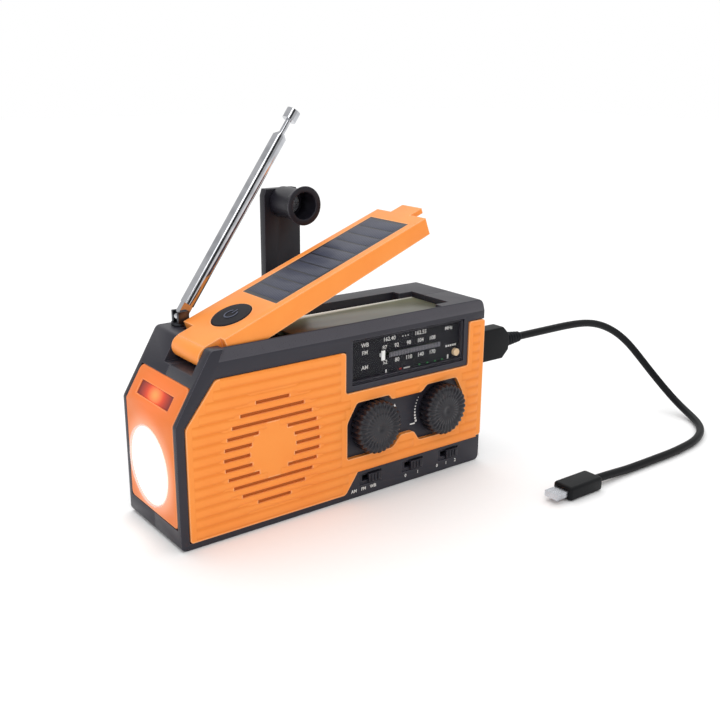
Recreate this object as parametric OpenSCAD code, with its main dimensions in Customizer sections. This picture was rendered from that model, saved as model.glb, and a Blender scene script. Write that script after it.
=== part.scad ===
// Emergency radio: two-shell casing, solar flap, reading lamp, torch, hand crank
// with dynamo gears, tuning dial, telescopic aerial and a plugged-in charging lead.
// X runs along the casing (torch end at -X), the front faces -Y, Z is up and the
// origin is the middle of the base.

/* [Casing] */
// Length of the casing, torch end to socket end
body_l = 156; // [152:1:190]
// Depth of the casing, front to back
body_d = 46; // [45:0.5:56]
// Height of the casing
body_h = 78; // [77:0.5:94]
// Wall of the two shells
wall = 2.2; // [1.8:0.1:2.6]
// Thickness of the front and torch-end walls, which carry the panels
front_wall = 4.2; // [3.8:0.1:4.8]
// Height at which the torch-end slope starts
slope_z = 51; // [49:0.5:56]
// How far the slope runs in at the top
slope_run = 16; // [14:0.5:18]
// Radius of the casing's long edges
edge_r = 2.5; // [1:0.5:4]

/* [Panels] */
// Thickness of the coloured panels
panel_t = 1.8; // [1.4:0.1:2]
// Gap round a panel in its seat
panel_gap = 0.15; // [0.1:0.05:0.3]
// Width of the dial bezel
dial_w = 66; // [60:1:68]
// Height of the dial bezel
dial_h = 23; // [21:0.5:24]

/* [Speaker] */
// Radius of the speaker
speaker_r = 22; // [19:0.5:22]
// Radius of the plain disc in the grille
grille_disc_r = 9.5; // [7:0.5:11]
// Pitch of the grille slots
slot_pitch = 4.2; // [3.8:0.1:4.6]

/* [Knobs] */
// Radius of the tuning and volume knobs
knob_r = 11.7; // [10:0.1:12.2]
// How far the knobs stand in front of the casing
knob_proud = 6; // [5.5:0.5:10]
// Radius of the knob shafts
shaft_r = 3; // [2.5:0.1:3.4]
// Teeth on the tuning pinion
pinion_teeth = 17; // [15:1:18]
// Module of the tuning rack and the dynamo wheels
small_module = 0.6; // [0.5:0.05:0.6]

/* [Flap] */
// Width of the solar flap
flap_w = 33; // [32:0.5:33.5]
// Angle at which the flap stands open
flap_angle = 20.7; // [10:0.1:40]
// Radius of the flap's hinge barrel
barrel_r = 4.6; // [4.2:0.1:4.8]
// Radius of the hinge pin
pin_r = 1.25; // [1:0.05:1.6]
// Radius of the lamp button
button_r = 8.4; // [7:0.1:9]

/* [Crank] */
// Distance from the crank axis to the handle axis
crank_throw = 70; // [60:1:76]
// Width of the crank arm
arm_w = 19; // [16:0.5:20]
// Thickness of the crank arm
arm_t = 4; // [3:0.1:4.4]
// Length of the handle
handle_l = 17.9; // [14:0.1:22]
// Radius of the crank shaft
crank_shaft_r = 4; // [3.5:0.1:5]
// Module of the crank wheel
crank_module = 0.8; // [0.7:0.05:0.8]

/* [Torch] */
// Radius of the torch lens
torch_r = 16; // [14:0.2:16.4]

/* [Aerial] */
// Radius of the outer aerial tube
aerial_r = 3; // [2.8:0.05:3.1]
// Length of the outer aerial tube
aerial_l = 78; // [60:1:90]
// Angle of the aerial above level
aerial_angle = 54.8; // [30:0.1:80]
// How far the aerial's rod stands out
rod_out = 8; // [6:0.5:20]

/* [Sockets and lead] */
// Width of the charging plug's moulding
plug_w = 15.8; // [14:0.1:17]
// Thickness of the charging plug's moulding
plug_t = 8; // [7:0.1:9]
// Diameter of the charging lead
lead_d = 3.8; // [3:0.1:4.2]

/* [Hidden] */

$fn = 64;
eps = 0.5;

// Ends, faces and split of the casing
x0 = -body_l / 2;
x1 = body_l / 2;
yf = -body_d / 2;
yb = body_d / 2;
split_y = 0;
slope_rise = body_h - slope_z;
slope_len = norm([slope_run, slope_rise]);
slope_tilt = atan2(slope_rise, slope_run);

// Fits
running = 0.08;
air = 0.4;

// Front panel and its seat
seat_y = yf + panel_t;
inner_y = yf + front_wall;
frame_l = 4;
step_z = 12.8;
panel_low = 2.8;
band_left = 11.5;
band_right = 9;

// Facet along the top front edge, which starts beside the torch-end slope
facet_z = body_h - 5;
facet_in = 1.6;
facet_x0 = x0 + slope_run + 2.5;
facet_lean = slope_run / slope_rise * 6;

// Dial
dial_x1 = x1 - 10.5;
dial_x0 = dial_x1 - dial_w;
dial_z1 = body_h - 5.5;
dial_z0 = dial_z1 - dial_h;
dial_rim = 1.7;
window_t = 1.2;
pointer_z = body_h - 17.1;
track_low = x1 - 56.8;
track_high = x1 - 26.5;
led_x = dial_x1 - 4.4;
led_z = dial_z0 + 5.7;
led_r = 1.7;
led_front = yf + 1.8;

// Knobs
tune_x = x1 - 63.5;
volume_x = x1 - 25.5;
knob_z = 31.5;
pocket_r = knob_r + 1;
knob_back = seat_y - air;
knob_bore = 5;
flutes = 28;
pitch_r = pinion_teeth * small_module / 2;
pinion_y0 = inner_y + 0.7;
pinion_y1 = pinion_y0 + 2.2;
board_y = inner_y + 8.8;
board_t = 1.6;
control_y = board_y - 5.2;
rack_travel = 25.4;

// Switches along the lower strip
switch_xs = [x1 - 62.8, x1 - 39, x1 - 17.6];
switch_z = 7.6;
switch_travel = 4;
cap_l = 7;
cap_h = 4;
cap_back = 0.6;
recess_t = 0.9;
stem_l = 3;
stem_h = 2;

// Speaker
speaker_x = x0 + 42;
speaker_z = 33;
speaker_y0 = inner_y + 0.3;
slots = 11;
slot_h = 1.5;

// Torch and distress lamp
torch_y = 2;
torch_z = 27.5;
panel_half = 20.5;
panel_z0 = 8.5;
panel_z1 = slope_z + 13;
sos_s0 = 3.9;
sos_s1 = 9.4;
sos_half = 13.6;

// Flap, in its own frame: u along the flap from the hinge, w square to it
hinge_x = x0 + 18;
hinge_z = body_h - 4.5;
flap_y0 = yf + 2.6;
flap_y1 = flap_y0 + flap_w;
flap_end = x1 - 26 - hinge_x;
flap_top = 4.8;
flap_plate = 2.4;
flap_low_a = -5;
flap_low_b = -2.7;
flap_start = 7.2;
skirt = 3;
tongue_y0 = flap_y0 + 3;
tongue_y1 = tongue_y0 + 22;
solar_u0 = 34.5;
solar_u1 = flap_end - 7;
solar_y0 = flap_y0 + 3.8;
solar_y1 = flap_y1 - 3.7;
solar_t = 0.9;
button_u = 20;
button_y = flap_y0 + 15.4;

// Pocket for the flap and the lamp island in it
pocket_gap = 0.4;
pocket_floor = hinge_z - 5.5;
floor_t = 2;
pocket_x0 = hinge_x + 3.7;
pocket_x1 = hinge_x + flap_end + 1.5;
pocket_y0 = flap_y0 - pocket_gap;
pocket_y1 = flap_y1 + pocket_gap;
lamp_x0 = x0 + 57.5;
lamp_x1 = x1 - 17;
lamp_y0 = flap_y0 + skirt + 0.9;
lamp_y1 = flap_y1 - skirt - 0.9;
lamp_top = body_h - 2.5;
lamp_t = 2.5;
island_wall = 1.5;

// Crank and its gears
crank_x = x1 - 66.5;
crank_z = 50;
boss_r = 14;
handle_gap = 1;
arm_y0 = yb + handle_gap + handle_l + 0.3;
fold_y = arm_y0 + arm_t / 2;
fold_r = 2.6;
hub_y1 = fold_y - fold_r - air;
hub_y0 = hub_y1 - 2.6;
hub_r = 13.5;
boss_y1 = hub_y0 - 0.3;
ear_x0 = 6.5;
ear_x1 = 9.5;
ear_r = 5;
fold_pin_r = 1.5;
handle_pin_r = 2;
handle_r0 = 6.9;
handle_r1 = 8.7;
handle_bore_d = 12;
crank_teeth = 48;
idler_small = 12;
idler_big = 40;
rotor_teeth = 10;
backlash = 0.16;
gear_y0 = yb - 8;
gear_y1 = yb - 4.5;
big_y0 = gear_y0 - 4.5;
big_y1 = gear_y0 - 1.5;
idler_turn = -30;
rotor_turn = -20;
idler_d = (crank_teeth + idler_small) * crank_module / 2;
idler_x = crank_x + idler_d * cos(idler_turn);
idler_z = crank_z + idler_d * sin(idler_turn);
rotor_d = (idler_big + rotor_teeth) * small_module / 2;
rotor_x = idler_x + rotor_d * cos(rotor_turn);
rotor_z = idler_z + rotor_d * sin(rotor_turn);
axle_r = 1.5;
dynamo_r = 12;
dynamo_y0 = yb - 30;
dynamo_y1 = big_y0 - 1;

// Battery
battery_r = 9.2;
battery_x0 = x0 + 26;
battery_l = 65;
battery_y = yb - wall - battery_r - 0.5;
battery_z = wall + battery_r + 2.5;

// Screws
screw_r = 1.4;
screw_xz = [[x0 + 12, 7], [x0 + 14, slope_z + 5], [x1 - 8, 8], [x1 - 8, body_h - 11]];
screw_boss_r = 3.2;
screw_head_r = 2.8;

// Aerial
aerial_x = x0 + 24;
aerial_y = yb - 5.9;
aerial_z = body_h + 3.6;
post_r = 2.4;
tube_gap = 0.1;
tube_wall = 0.35;
tube_step = tube_gap + tube_wall;
foot_l = 6.5;
fork_half = 2.4;
pivot_r = 0.9;

// Sockets
usb_y = yf + 13;
usb_z = 51.6;
usb_w = 13.2;
usb_t = 5.8;
usb_depth = 14;
plug_x0 = x1 + 0.6;
plug_l = 26;
neck_l = 11;
jack_y = 4.5;
jack_r = 3.6;
jack_bore = 1.8;
charge_y = 13;

// Route of the charging lead, from the plug's neck to the connector on the floor
lead_z = lead_d / 2;
lead_start = [plug_x0 + plug_l + neck_l, usb_y, usb_z];
lead_route = [
    [127, -10, 51.6], [138, -10, 51.6], [149, -10, 51.6], [160, -10, 51.2],
    [170, -10, 50], [180, -11, 47], [189, -13, 42], [196, -16, 35.5],
    [201, -20, 28], [205, -25, 20.5], [208, -31, 13.5], [209, -38, 7.8],
    [208, -46, 4], [205, -54, 2.3], [200, -61, 1.9], [193, -67, 1.9],
    [185, -71, 1.9], [176, -74, 1.9], [167, -75, 1.9], [157, -76, 1.9],
    [147, -76, 1.9], [137, -76, 1.9], [127, -76, 1.9], [118, -76, 2.1],
    [109, -76, 2.8]
];
connector_x1 = 98;
connector_l = 21;
connector_y = -76;
connector_z = 3.2;
connector_w = 10.5;
connector_t = 6.4;
tip_l = 7;
tip_w = 7;
tip_t = 2.6;
lead_end = [connector_x1, connector_y, connector_z];

// ---- helpers ----

module block(x, y, z)
    translate([x[0], y[0], z[0]]) cube([x[1] - x[0], y[1] - y[0], z[1] - z[0]]);

module rod_x(y, z, x, r)
    translate([x[0], y, z]) rotate([0, 90, 0]) cylinder(r = r, h = x[1] - x[0]);

module rod_y(x, z, y, r)
    translate([x, y[0], z]) rotate([-90, 0, 0]) cylinder(r = r, h = y[1] - y[0]);

module rod_z(x, y, z, r)
    translate([x, y, z[0]]) cylinder(r = r, h = z[1] - z[0]);

// An outline in X and Z, drawn out along Y
module slab(points, y)
    translate([0, y[1], 0]) rotate([90, 0, 0]) linear_extrude(y[1] - y[0]) polygon(points);

function unit(v) = v / norm(v);

function corner_arc(a, b, c, r, n) =
    let (u = unit(a - b), w = unit(c - b), half = acos(u * w) / 2,
         centre = b + unit(u + w) * r / sin(half),
         p = b + u * r / tan(half) - centre, q = b + w * r / tan(half) - centre,
         from = atan2(p[1], p[0]), turn = (atan2(q[1], q[0]) - from + 540) % 360 - 180)
    [for (i = [0:n]) centre + r * [cos(from + turn * i / n), sin(from + turn * i / n)]];

// A polygon with every corner rounded
function rounded(points, r, n = 4) =
    let (count = len(points))
    [for (i = [0:count - 1])
        each corner_arc(points[(i + count - 1) % count], points[i], points[(i + 1) % count], r, n)];

// The casing's outline, inset by m at the base, top and socket end and by e at the torch end
function outline(m, e) =
    let (low = slope_z + e * ((1 - slope_rise / slope_len) * slope_rise / slope_run
                              - slope_run / slope_len),
         top = x0 + e * slope_rise / slope_len
               + (body_h - m - slope_z + e * slope_run / slope_len) * slope_run / slope_rise)
    [[x0 + e, m], [x1 - m, m], [x1 - m, body_h - m], [top, body_h - m], [x0 + e, low]];

// The front panel's outline, made larger by g for its seat
function panel_outline(g) =
    [[x0 + frame_l - g, panel_low - g], [dial_x0 - 2 + g / 2, panel_low - g],
     [dial_x0 + 5 + g / 2, step_z - g], [x1 + 1, step_z - g], [x1 + 1, body_h - band_right + g],
     [dial_x1 + 1 - g, body_h - band_right + g], [dial_x1 + 1 - g, dial_z0 - 1 + g],
     [dial_x0 - 2 + g, dial_z0 - 1 + g], [dial_x0 - 2 + g, body_h - band_left + g],
     [x0 + slope_run + 1.2 - g, body_h - band_left + g], [x0 + frame_l - g, slope_z - 1.5 + g]];

// Two many-sided knob wells and the neck that joins them, drawn round from the lower left
function knob_wells() =
    let (r = pocket_r, near = tune_x, far = volume_x, low = knob_z - r)
    [[near - r - 1.6, low], [near - r - 1.6, knob_z + 3.7], [near - r + 3.5, knob_z + r - 0.6],
     [near + r - 4.4, knob_z + r - 0.6], [near + r - 3.4, knob_z + 9.9], [far - r + 1.4, knob_z + 9.9],
     [far - r + 4.2, knob_z + r], [far + r - 3.7, knob_z + r], [far + r + 0.7, knob_z + 4.5],
     [far + r + 0.7, knob_z - 7.5], [far + r - 3.7, low], [far - r + 0.3, low],
     [far - r - 2.9, knob_z - 7.8], [near + r + 2.3, knob_z - 7.8], [near + r - 2.2, low]];

module grille_slots(y) {
    for (i = [0:slots - 1]) {
        h = (i - (slots - 1) / 2) * slot_pitch;
        reach = sqrt(max(0, pow(speaker_r + 0.4, 2) - h * h));
        core = abs(h) < grille_disc_r + 0.6 ? sqrt(pow(grille_disc_r + 1.2, 2) - h * h) : 0;
        z = [speaker_z + h - slot_h / 2, speaker_z + h + slot_h / 2];
        if (core > 0)
            for (s = [-1, 1])
                block([speaker_x + min(s * core, s * reach), speaker_x + max(s * core, s * reach)], y, z);
        else
            block([speaker_x - reach, speaker_x + reach], y, z);
    }
}

// Band of the casing's torch end, between two insets of the outline
module end_band(outer, inner, half, z)
    intersection() {
        difference() {
            slab(outline(0, outer), [-half, half]);
            slab(outline(-1, inner), [-half - 1, half + 1]);
        }
        block([x0 - 2, x0 + slope_run - 2], [-half, half], z);
    }

module on_slope()
    translate([x0, 0, slope_z]) rotate([0, -slope_tilt, 0]) children();

// Places children given in the flap's own frame
module on_flap(angle = flap_angle)
    translate([hinge_x, 0, hinge_z]) rotate([0, -angle, 0]) children();

function involute(a) = tan(a) * 180 / PI - a;

function flank(teeth, m, r) =
    let (pitch = teeth * m / 2, base = pitch * cos(20))
    90 / teeth - backlash / 2 / pitch * 90 / PI + involute(20)
    - involute(acos(min(1, base / r)));

// Spur gear outline with one tooth along +X
function gear_outline(teeth, m, steps = 4) =
    let (pitch = teeth * m / 2, base = pitch * cos(20), root = pitch - 1.25 * m,
         start = max(base, root), tip = pitch + m)
    [for (t = [0:teeth - 1])
        each concat(
            [for (s = [0:0]) root * [cos(t * 360 / teeth - flank(teeth, m, start)),
                                     sin(t * 360 / teeth - flank(teeth, m, start))]],
            [for (i = [root < base ? 0 : 1:steps]) let (r = start + (tip - start) * i / steps,
                                       a = t * 360 / teeth - flank(teeth, m, r))
                r * [cos(a), sin(a)]],
            [for (i = [steps:-1:root < base ? 0 : 1]) let (r = start + (tip - start) * i / steps,
                                          a = t * 360 / teeth + flank(teeth, m, r))
                r * [cos(a), sin(a)]],
            [for (s = [0:0]) root * [cos(t * 360 / teeth + flank(teeth, m, start)),
                                     sin(t * 360 / teeth + flank(teeth, m, start))]])];

module gear(x, z, y, teeth, m, turn)
    translate([x, y[1], z]) rotate([90, 0, 0]) rotate(turn)
        linear_extrude(y[1] - y[0]) polygon(gear_outline(teeth, m));

// Fluted outline of a knob
function fluted(r, depth, count, steps = 6) =
    [for (i = [0:count * steps - 1]) let (a = i * 360 / count / steps)
        (r - depth / 2 + depth / 2 * cos(a * count)) * [cos(a), sin(a)]];

module knob(x) {
    translate([x, knob_back, knob_z]) rotate([90, 0, 0]) difference() {
        union() {
            linear_extrude(knob_proud + panel_t - air - 1.6) polygon(fluted(knob_r, 1, flutes));
            translate([0, 0, 1]) cylinder(r1 = knob_r - 1.4, r2 = knob_r - 2.4, h = knob_proud + panel_t - air - 1);
        }
        translate([0, 0, -eps]) cylinder(r = shaft_r, h = knob_bore + eps);
    }
}

module switch_cap(x) {
    block([x - cap_l / 2, x + cap_l / 2], [yf - 0.9, yf + cap_back], [switch_z - cap_h / 2, switch_z + cap_h / 2]);
    block([x - stem_l / 2, x + stem_l / 2], [yf + cap_back, inner_y + 1.5],
          [switch_z - stem_h / 2, switch_z + stem_h / 2]);
}

module screw_bosses(y, r)
    for (p = screw_xz) rod_y(p[0], p[1], y, r);

// Rings of a tube swept along points, as one closed solid
module swept_tube(points, r, sides = 8) {
    last = len(points) - 1;
    rings = [for (i = [0:last])
        let (t = unit(points[min(i + 1, last)] - points[max(i - 1, 0)]),
             up = [0, 0, 1], side = unit(cross(t, abs(t[2]) > 0.95 ? [0, 1, 0] : up)), n = cross(side, t))
        [for (k = [0:sides - 1]) points[i] + r * (cos(360 * (k + 0.5) / sides) * side
                                                  + sin(360 * (k + 0.5) / sides) * n)]];
    polyhedron(
        points = [for (ring = rings) each ring],
        faces = concat(
            [[for (k = [0:sides - 1]) k]],
            [for (i = [0:last - 1], k = [0:sides - 1]) let (j = (k + 1) % sides)
                [i * sides + k, (i + 1) * sides + k, (i + 1) * sides + j, i * sides + j]],
            [[for (k = [sides - 1:-1:0]) last * sides + k]]));
}

// ---- casing ----

// Facet along the casing's top front edge
module top_facet()
    intersection() {
        translate([x0, 0, 0]) rotate([90, 0, 90]) linear_extrude(body_l + 1)
            polygon([[yf - 1, facet_z], [yf, facet_z], [yf + facet_in, body_h], [yf + facet_in, body_h + 1],
                     [yf - 1, body_h + 1]]);
        slab([[facet_x0, facet_z - 1], [x1 + 1, facet_z - 1], [x1 + 1, body_h + 1],
              [facet_x0 + facet_lean, body_h + 1]], [yf - 1, yf + facet_in + 1]);
    }

// The hollow under the flap pocket, and the taller hollow beyond it
module cavity(y) {
    low = pocket_floor - floor_t;
    intersection() {
        slab(outline(wall, front_wall), y);
        union() {
            block([x0, x1], y, [0, low]);
            block([lamp_x1 + 1.5, x1], y, [low - 1, body_h]);
        }
    }
}

module flap_pocket() {
    block([pocket_x0, lamp_x0], [pocket_y0, pocket_y1], [pocket_floor, body_h + 1]);
    for (y = [[pocket_y0, lamp_y0], [lamp_y1, pocket_y1]])
        block([lamp_x0 - eps, pocket_x1], y, [pocket_floor, body_h + 1]);
    block([lamp_x0 - eps, pocket_x1], [pocket_y0, pocket_y1], [lamp_top, body_h + 1]);
    block([lamp_x0 - eps, lamp_x1 + 0.2], [lamp_y0, lamp_y1], [lamp_top - lamp_t, body_h + 1]);
    block([lamp_x0 + island_wall, lamp_x1 - island_wall],
          [lamp_y0 + island_wall, lamp_y1 - island_wall], [pocket_floor, body_h]);
    block([x0, pocket_x0 + eps], [tongue_y0 - pocket_gap, tongue_y1 + pocket_gap],
          [pocket_floor, body_h + 1]);
}

module torch_end_seat() {
    end_band(-1, panel_t + panel_gap, panel_half + panel_gap, [panel_z0 - panel_gap, panel_z1 + panel_gap]);
    rod_x(torch_y, torch_z, [x0 - 1, x0 + front_wall + 1], torch_r + 0.2);
    on_slope() block([sos_s0 - 0.15, sos_s1 + 0.15], [1 - sos_half - 0.15, 1 + sos_half + 0.15],
                     [-front_wall - 3, 1]);
}

module front_shell() color("#3c3b45") {
    difference() {
        union() {
            difference() {
                slab(rounded(outline(0, 0), edge_r), [yf, split_y]);
                cavity([inner_y, split_y + 1]);
                slab(panel_outline(panel_gap), [yf - 1, seat_y]);
                flap_pocket();
                torch_end_seat();
                top_facet();
            }
            intersection() {
                screw_bosses([inner_y, split_y], screw_boss_r);
                slab(outline(wall / 2, wall), [yf, split_y]);
            }
        }
        screw_bosses([inner_y + 3, split_y + 1], screw_r);
        rod_y(speaker_x, speaker_z, [yf - 1, inner_y + 1], speaker_r - 0.8);
        block([dial_x0 + dial_rim, dial_x1 - dial_rim], [yf - 1, yf + window_t + 0.4],
              [dial_z0 + dial_rim, dial_z1 - dial_rim]);
        block([dial_x0 + 3, dial_x1 - 2.2], [yf - 1, inner_y + 1], [dial_z0 + 3, dial_z1 - 3]);
        for (x = [tune_x, volume_x]) rod_y(x, knob_z, [yf, inner_y + 1], shaft_r + running);
        for (x = switch_xs)
            block([x - cap_l / 2 - switch_travel - 0.6, x + cap_l / 2 + 0.6], [yf - 1, yf + recess_t],
                  [switch_z - cap_h / 2 - 0.6, switch_z + cap_h / 2 + 0.6]);
        for (x = switch_xs)
            block([x - stem_l / 2 - switch_travel - 0.3, x + stem_l / 2 + 0.3], [yf - 1, inner_y + 1],
                  [switch_z - stem_h / 2 - 0.3, switch_z + stem_h / 2 + 0.3]);
        block([x1 - wall - 1, x1 + 1], [usb_y - usb_t / 2 - 0.1, usb_y + usb_t / 2 + 0.1],
              [usb_z - usb_w / 2 - 0.1, usb_z + usb_w / 2 + 0.1]);
        rod_y(hinge_x, hinge_z, [tongue_y0 - 3, split_y + 1], pin_r);
    }
}

module rear_shell() color("#3c3b45") {
    deep = pocket_y1 + floor_t;
    difference() {
        union() {
            difference() {
                slab(rounded(outline(0, 0), edge_r), [split_y, yb]);
                cavity([split_y - 1, yb - wall]);
                slab(outline(wall, front_wall), [deep, yb - wall]);
                flap_pocket();
                torch_end_seat();
            }
            intersection() {
                screw_bosses([split_y, yb - wall], screw_boss_r);
                slab(outline(wall / 2, wall), [split_y, yb]);
            }
            rod_y(crank_x, crank_z, [yb - wall, boss_y1 - 3], boss_r);
            translate([crank_x, boss_y1 - 3, crank_z]) rotate([-90, 0, 0])
                cylinder(r1 = boss_r, r2 = boss_r - 2, h = 3);
        }
        rod_y(crank_x, crank_z, [yb - wall - 1, boss_y1 + 1], crank_shaft_r + running);
        screw_bosses([split_y - 1, yb + 1], screw_r + 0.3);
        screw_bosses([yb - 2, yb + 1], screw_head_r + 0.2);
        rod_y(hinge_x, hinge_z, [split_y - 1, tongue_y1 + 3.5], pin_r);
        rod_z(aerial_x, aerial_y, [body_h - 8, body_h + 1], post_r + 1.1);
        rod_x(jack_y, usb_z, [x1 - wall - 1, x1 + 1], jack_r);
        block([x1 - wall - 1, x1 + 1], [charge_y - 1.9, charge_y + 1.9], [usb_z - 4.9, usb_z + 4.9]);
    }
}

module front_panel() color("#fd9f47")
    difference() {
        intersection() {
            slab(panel_outline(0), [yf - 0.4, seat_y]);
            slab(rounded(outline(0, 0), edge_r), [yf - 1, seat_y + 1]);
        }
        slab(knob_wells(), [yf - 1, seat_y + 1]);
        grille_slots([yf - 1, seat_y + 1]);
    }

module end_panel() color("#fd9f47")
    difference() {
        end_band(0, panel_t, panel_half, [panel_z0, panel_z1]);
        rod_x(torch_y, torch_z, [x0 - 1, x0 + panel_t + 1], torch_r + 0.2);
        on_slope() block([sos_s0 - 0.15, sos_s1 + 0.15], [1 - sos_half - 0.15, 1 + sos_half + 0.15],
                         [-front_wall, 1]);
    }

module dial_window() color("#20202a")
    block([dial_x0 + dial_rim + 0.1, dial_x1 - dial_rim - 0.1], [yf + 0.4, yf + 0.4 + window_t],
          [dial_z0 + dial_rim + 0.1, dial_z1 - dial_rim - 0.1]);

module dial_plate() color("#15151c")
    difference() {
        block([dial_x0 + 3.1, dial_x1 - 2.3], [inner_y - 1, inner_y], [dial_z0 + 3.1, dial_z1 - 3.1]);
        block([track_low - 1.5, track_high + 1.5], [inner_y - 2, inner_y + 1],
              [pointer_z - 1, pointer_z + 1]);
        rod_y(led_x, led_z, [inner_y - 2, inner_y + 1], led_r + 0.1);
    }

module indicator_led() color("#f4d9a0") {
    rod_y(led_x, led_z, [led_front, inner_y + 2], led_r);
    rod_y(led_x, led_z, [inner_y + 2, board_y], 0.7);
}

module speaker_frame() color("#55555c")
    difference() {
        union() {
            rod_y(speaker_x, speaker_z, [speaker_y0, speaker_y0 + 2], speaker_r);
            translate([speaker_x, speaker_y0 + 2, speaker_z]) rotate([-90, 0, 0])
                cylinder(r1 = speaker_r - 1, r2 = 11, h = 7);
        }
        translate([speaker_x, speaker_y0 - eps, speaker_z]) rotate([-90, 0, 0])
            cylinder(r = speaker_r - 2, h = 2 + eps);
        translate([speaker_x, speaker_y0 + 2 - 0.01, speaker_z]) rotate([-90, 0, 0])
            cylinder(r1 = speaker_r - 2, r2 = 9, h = 7.02);
    }

module speaker_cone() color("#26262b")
    translate([speaker_x, speaker_y0 + 0.6, speaker_z]) rotate([-90, 0, 0])
        difference() {
            cylinder(r1 = speaker_r - 2.3, r2 = 7, h = 6);
            translate([0, 0, -0.01]) cylinder(r1 = speaker_r - 3.2, r2 = 5.6, h = 5.2);
        }

module speaker_magnet() color("#8a8a90")
    rod_y(speaker_x, speaker_z, [speaker_y0 + 9, speaker_y0 + 15], 12);

module main_board() color("#2f6b42")
    difference() {
        block([dial_x0 - 8, x1 - wall - 2], [board_y, board_y + board_t], [wall + 2, pocket_floor - floor_t - 2]);
        block([x1 - usb_depth - 0.5, x1], [board_y - 1, board_y + board_t + 1], [usb_z - 8, body_h]);
        rod_y(x1 - 8, 8, [board_y - 1, board_y + board_t + 1], screw_boss_r + 0.4);
    }

module battery_cell() color("#3f7fb5")
    rod_x(battery_y, battery_z, [battery_x0, battery_x0 + battery_l], battery_r);

// ---- torch end ----

module torch_lens() color("#f5f6f8")
    rod_x(torch_y, torch_z, [x0 - 0.4, x0 + 1.6], torch_r);

module torch_reflector() color("#d8dadf")
    translate([x0 + 1.6, torch_y, torch_z]) rotate([0, 90, 0])
        difference() {
            cylinder(r1 = torch_r - 0.2, r2 = 5, h = 12);
            translate([0, 0, -0.01]) cylinder(r1 = torch_r - 1.4, r2 = 3.8, h = 12.02);
        }

module torch_led() color("#fdfbe8") {
    rod_x(torch_y, torch_z, [x0 + 13.6, x0 + 15.2], 8);
    rod_x(torch_y, torch_z, [x0 + 11.6, x0 + 13.6], 2.5);
}

module sos_lens() color("#c22402")
    on_slope() block([sos_s0, sos_s1], [1 - sos_half, 1 + sos_half], [-front_wall + 0.2, -0.5]);

// ---- reading lamp ----

module lamp_diffuser() color("#c9c8b4")
    block([lamp_x0, lamp_x1], [lamp_y0, lamp_y1], [lamp_top - lamp_t, lamp_top]);

module lamp_board() color("#e8e8e2")
    block([lamp_x0 + island_wall + 1, lamp_x1 - island_wall - 1],
          [lamp_y0 + island_wall + 1, lamp_y1 - island_wall - 1],
          [pocket_floor, pocket_floor + 1.6]);

// ---- sockets, controls and screws ----

module usb_port() color("#b9bcc2")
    difference() {
        block([x1 - usb_depth, x1], [usb_y - usb_t / 2, usb_y + usb_t / 2],
              [usb_z - usb_w / 2, usb_z + usb_w / 2]);
        block([x1 - usb_depth + 1, x1 + 1], [usb_y - usb_t / 2 + 0.4, usb_y + usb_t / 2 - 0.4],
              [usb_z - usb_w / 2 + 0.4, usb_z + usb_w / 2 - 0.4]);
    }

module charge_port() color("#b9bcc2")
    difference() {
        block([x1 - 8, x1 - 0.2], [charge_y - 1.8, charge_y + 1.8], [usb_z - 4.8, usb_z + 4.8]);
        block([x1 - 7, x1 + 1], [charge_y - 1.4, charge_y + 1.4], [usb_z - 4.4, usb_z + 4.4]);
    }

module headphone_jack() color("#26262b")
    difference() {
        rod_x(jack_y, usb_z, [x1 - 14, x1 + 0.4], jack_r - 0.05);
        rod_x(jack_y, usb_z, [x1 - 13, x1 + 1], jack_bore);
    }

module volume_control() color("#9a9da3")
    difference() {
        rod_y(volume_x, knob_z, [control_y, board_y], 8);
        rod_y(volume_x, knob_z, [control_y - 1, control_y + 3], shaft_r + running);
    }

module tuning_capacitor() color("#e3e0d2")
    difference() {
        block([tune_x - 8, tune_x + 8], [control_y, board_y], [knob_z - 8, knob_z + 8]);
        rod_y(tune_x, knob_z, [control_y - 1, control_y + 3], shaft_r + running);
    }

module case_screws() color("#6f7276")
    for (p = screw_xz) {
        rod_y(p[0], p[1], [split_y - 9, yb - 2], screw_r);
        rod_y(p[0], p[1], [yb - 2, yb - 0.5], screw_head_r);
    }

// ---- dynamo ----

module dynamo_can() color("#a9adb3")
    difference() {
        rod_y(rotor_x, rotor_z, [dynamo_y0, dynamo_y1], dynamo_r);
        rod_y(rotor_x, rotor_z, [dynamo_y0 + 2, dynamo_y1 + 1], axle_r + running);
    }

module idler_axle() color("#c3c6cb")
    rod_y(idler_x, idler_z, [big_y0 - 6, yb - wall], axle_r);

// ---- charging lead ----

module usb_plug_shell() color("#c3c6cb")
    block([x1 - 11, plug_x0], [usb_y - 2.25, usb_y + 2.25], [usb_z - 6, usb_z + 6]);

module usb_plug() color("#212527") {
    difference() {
        slab(rounded([[plug_x0, usb_z - plug_w / 2], [plug_x0 + plug_l - 4, usb_z - plug_w / 2],
                      [plug_x0 + plug_l, usb_z - plug_w / 2 + 4], [plug_x0 + plug_l, usb_z + plug_w / 2 - 4],
                      [plug_x0 + plug_l - 4, usb_z + plug_w / 2], [plug_x0, usb_z + plug_w / 2]], 1.2, 3),
             [usb_y - plug_t / 2, usb_y + plug_t / 2]);
    }
    translate([plug_x0 + plug_l, usb_y, usb_z]) rotate([0, 90, 0])
        cylinder(r1 = plug_t / 2 - 0.6, r2 = lead_d / 2 + 0.3, h = neck_l);
}

module charging_lead() color("#212527")
    swept_tube(concat([lead_start], lead_route, [lead_end]), lead_d / 2);

module lead_connector() color("#212527")
    block([connector_x1 - connector_l, connector_x1],
          [connector_y - connector_w / 2, connector_y + connector_w / 2],
          [connector_z - connector_t / 2, connector_z + connector_t / 2]);

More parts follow.
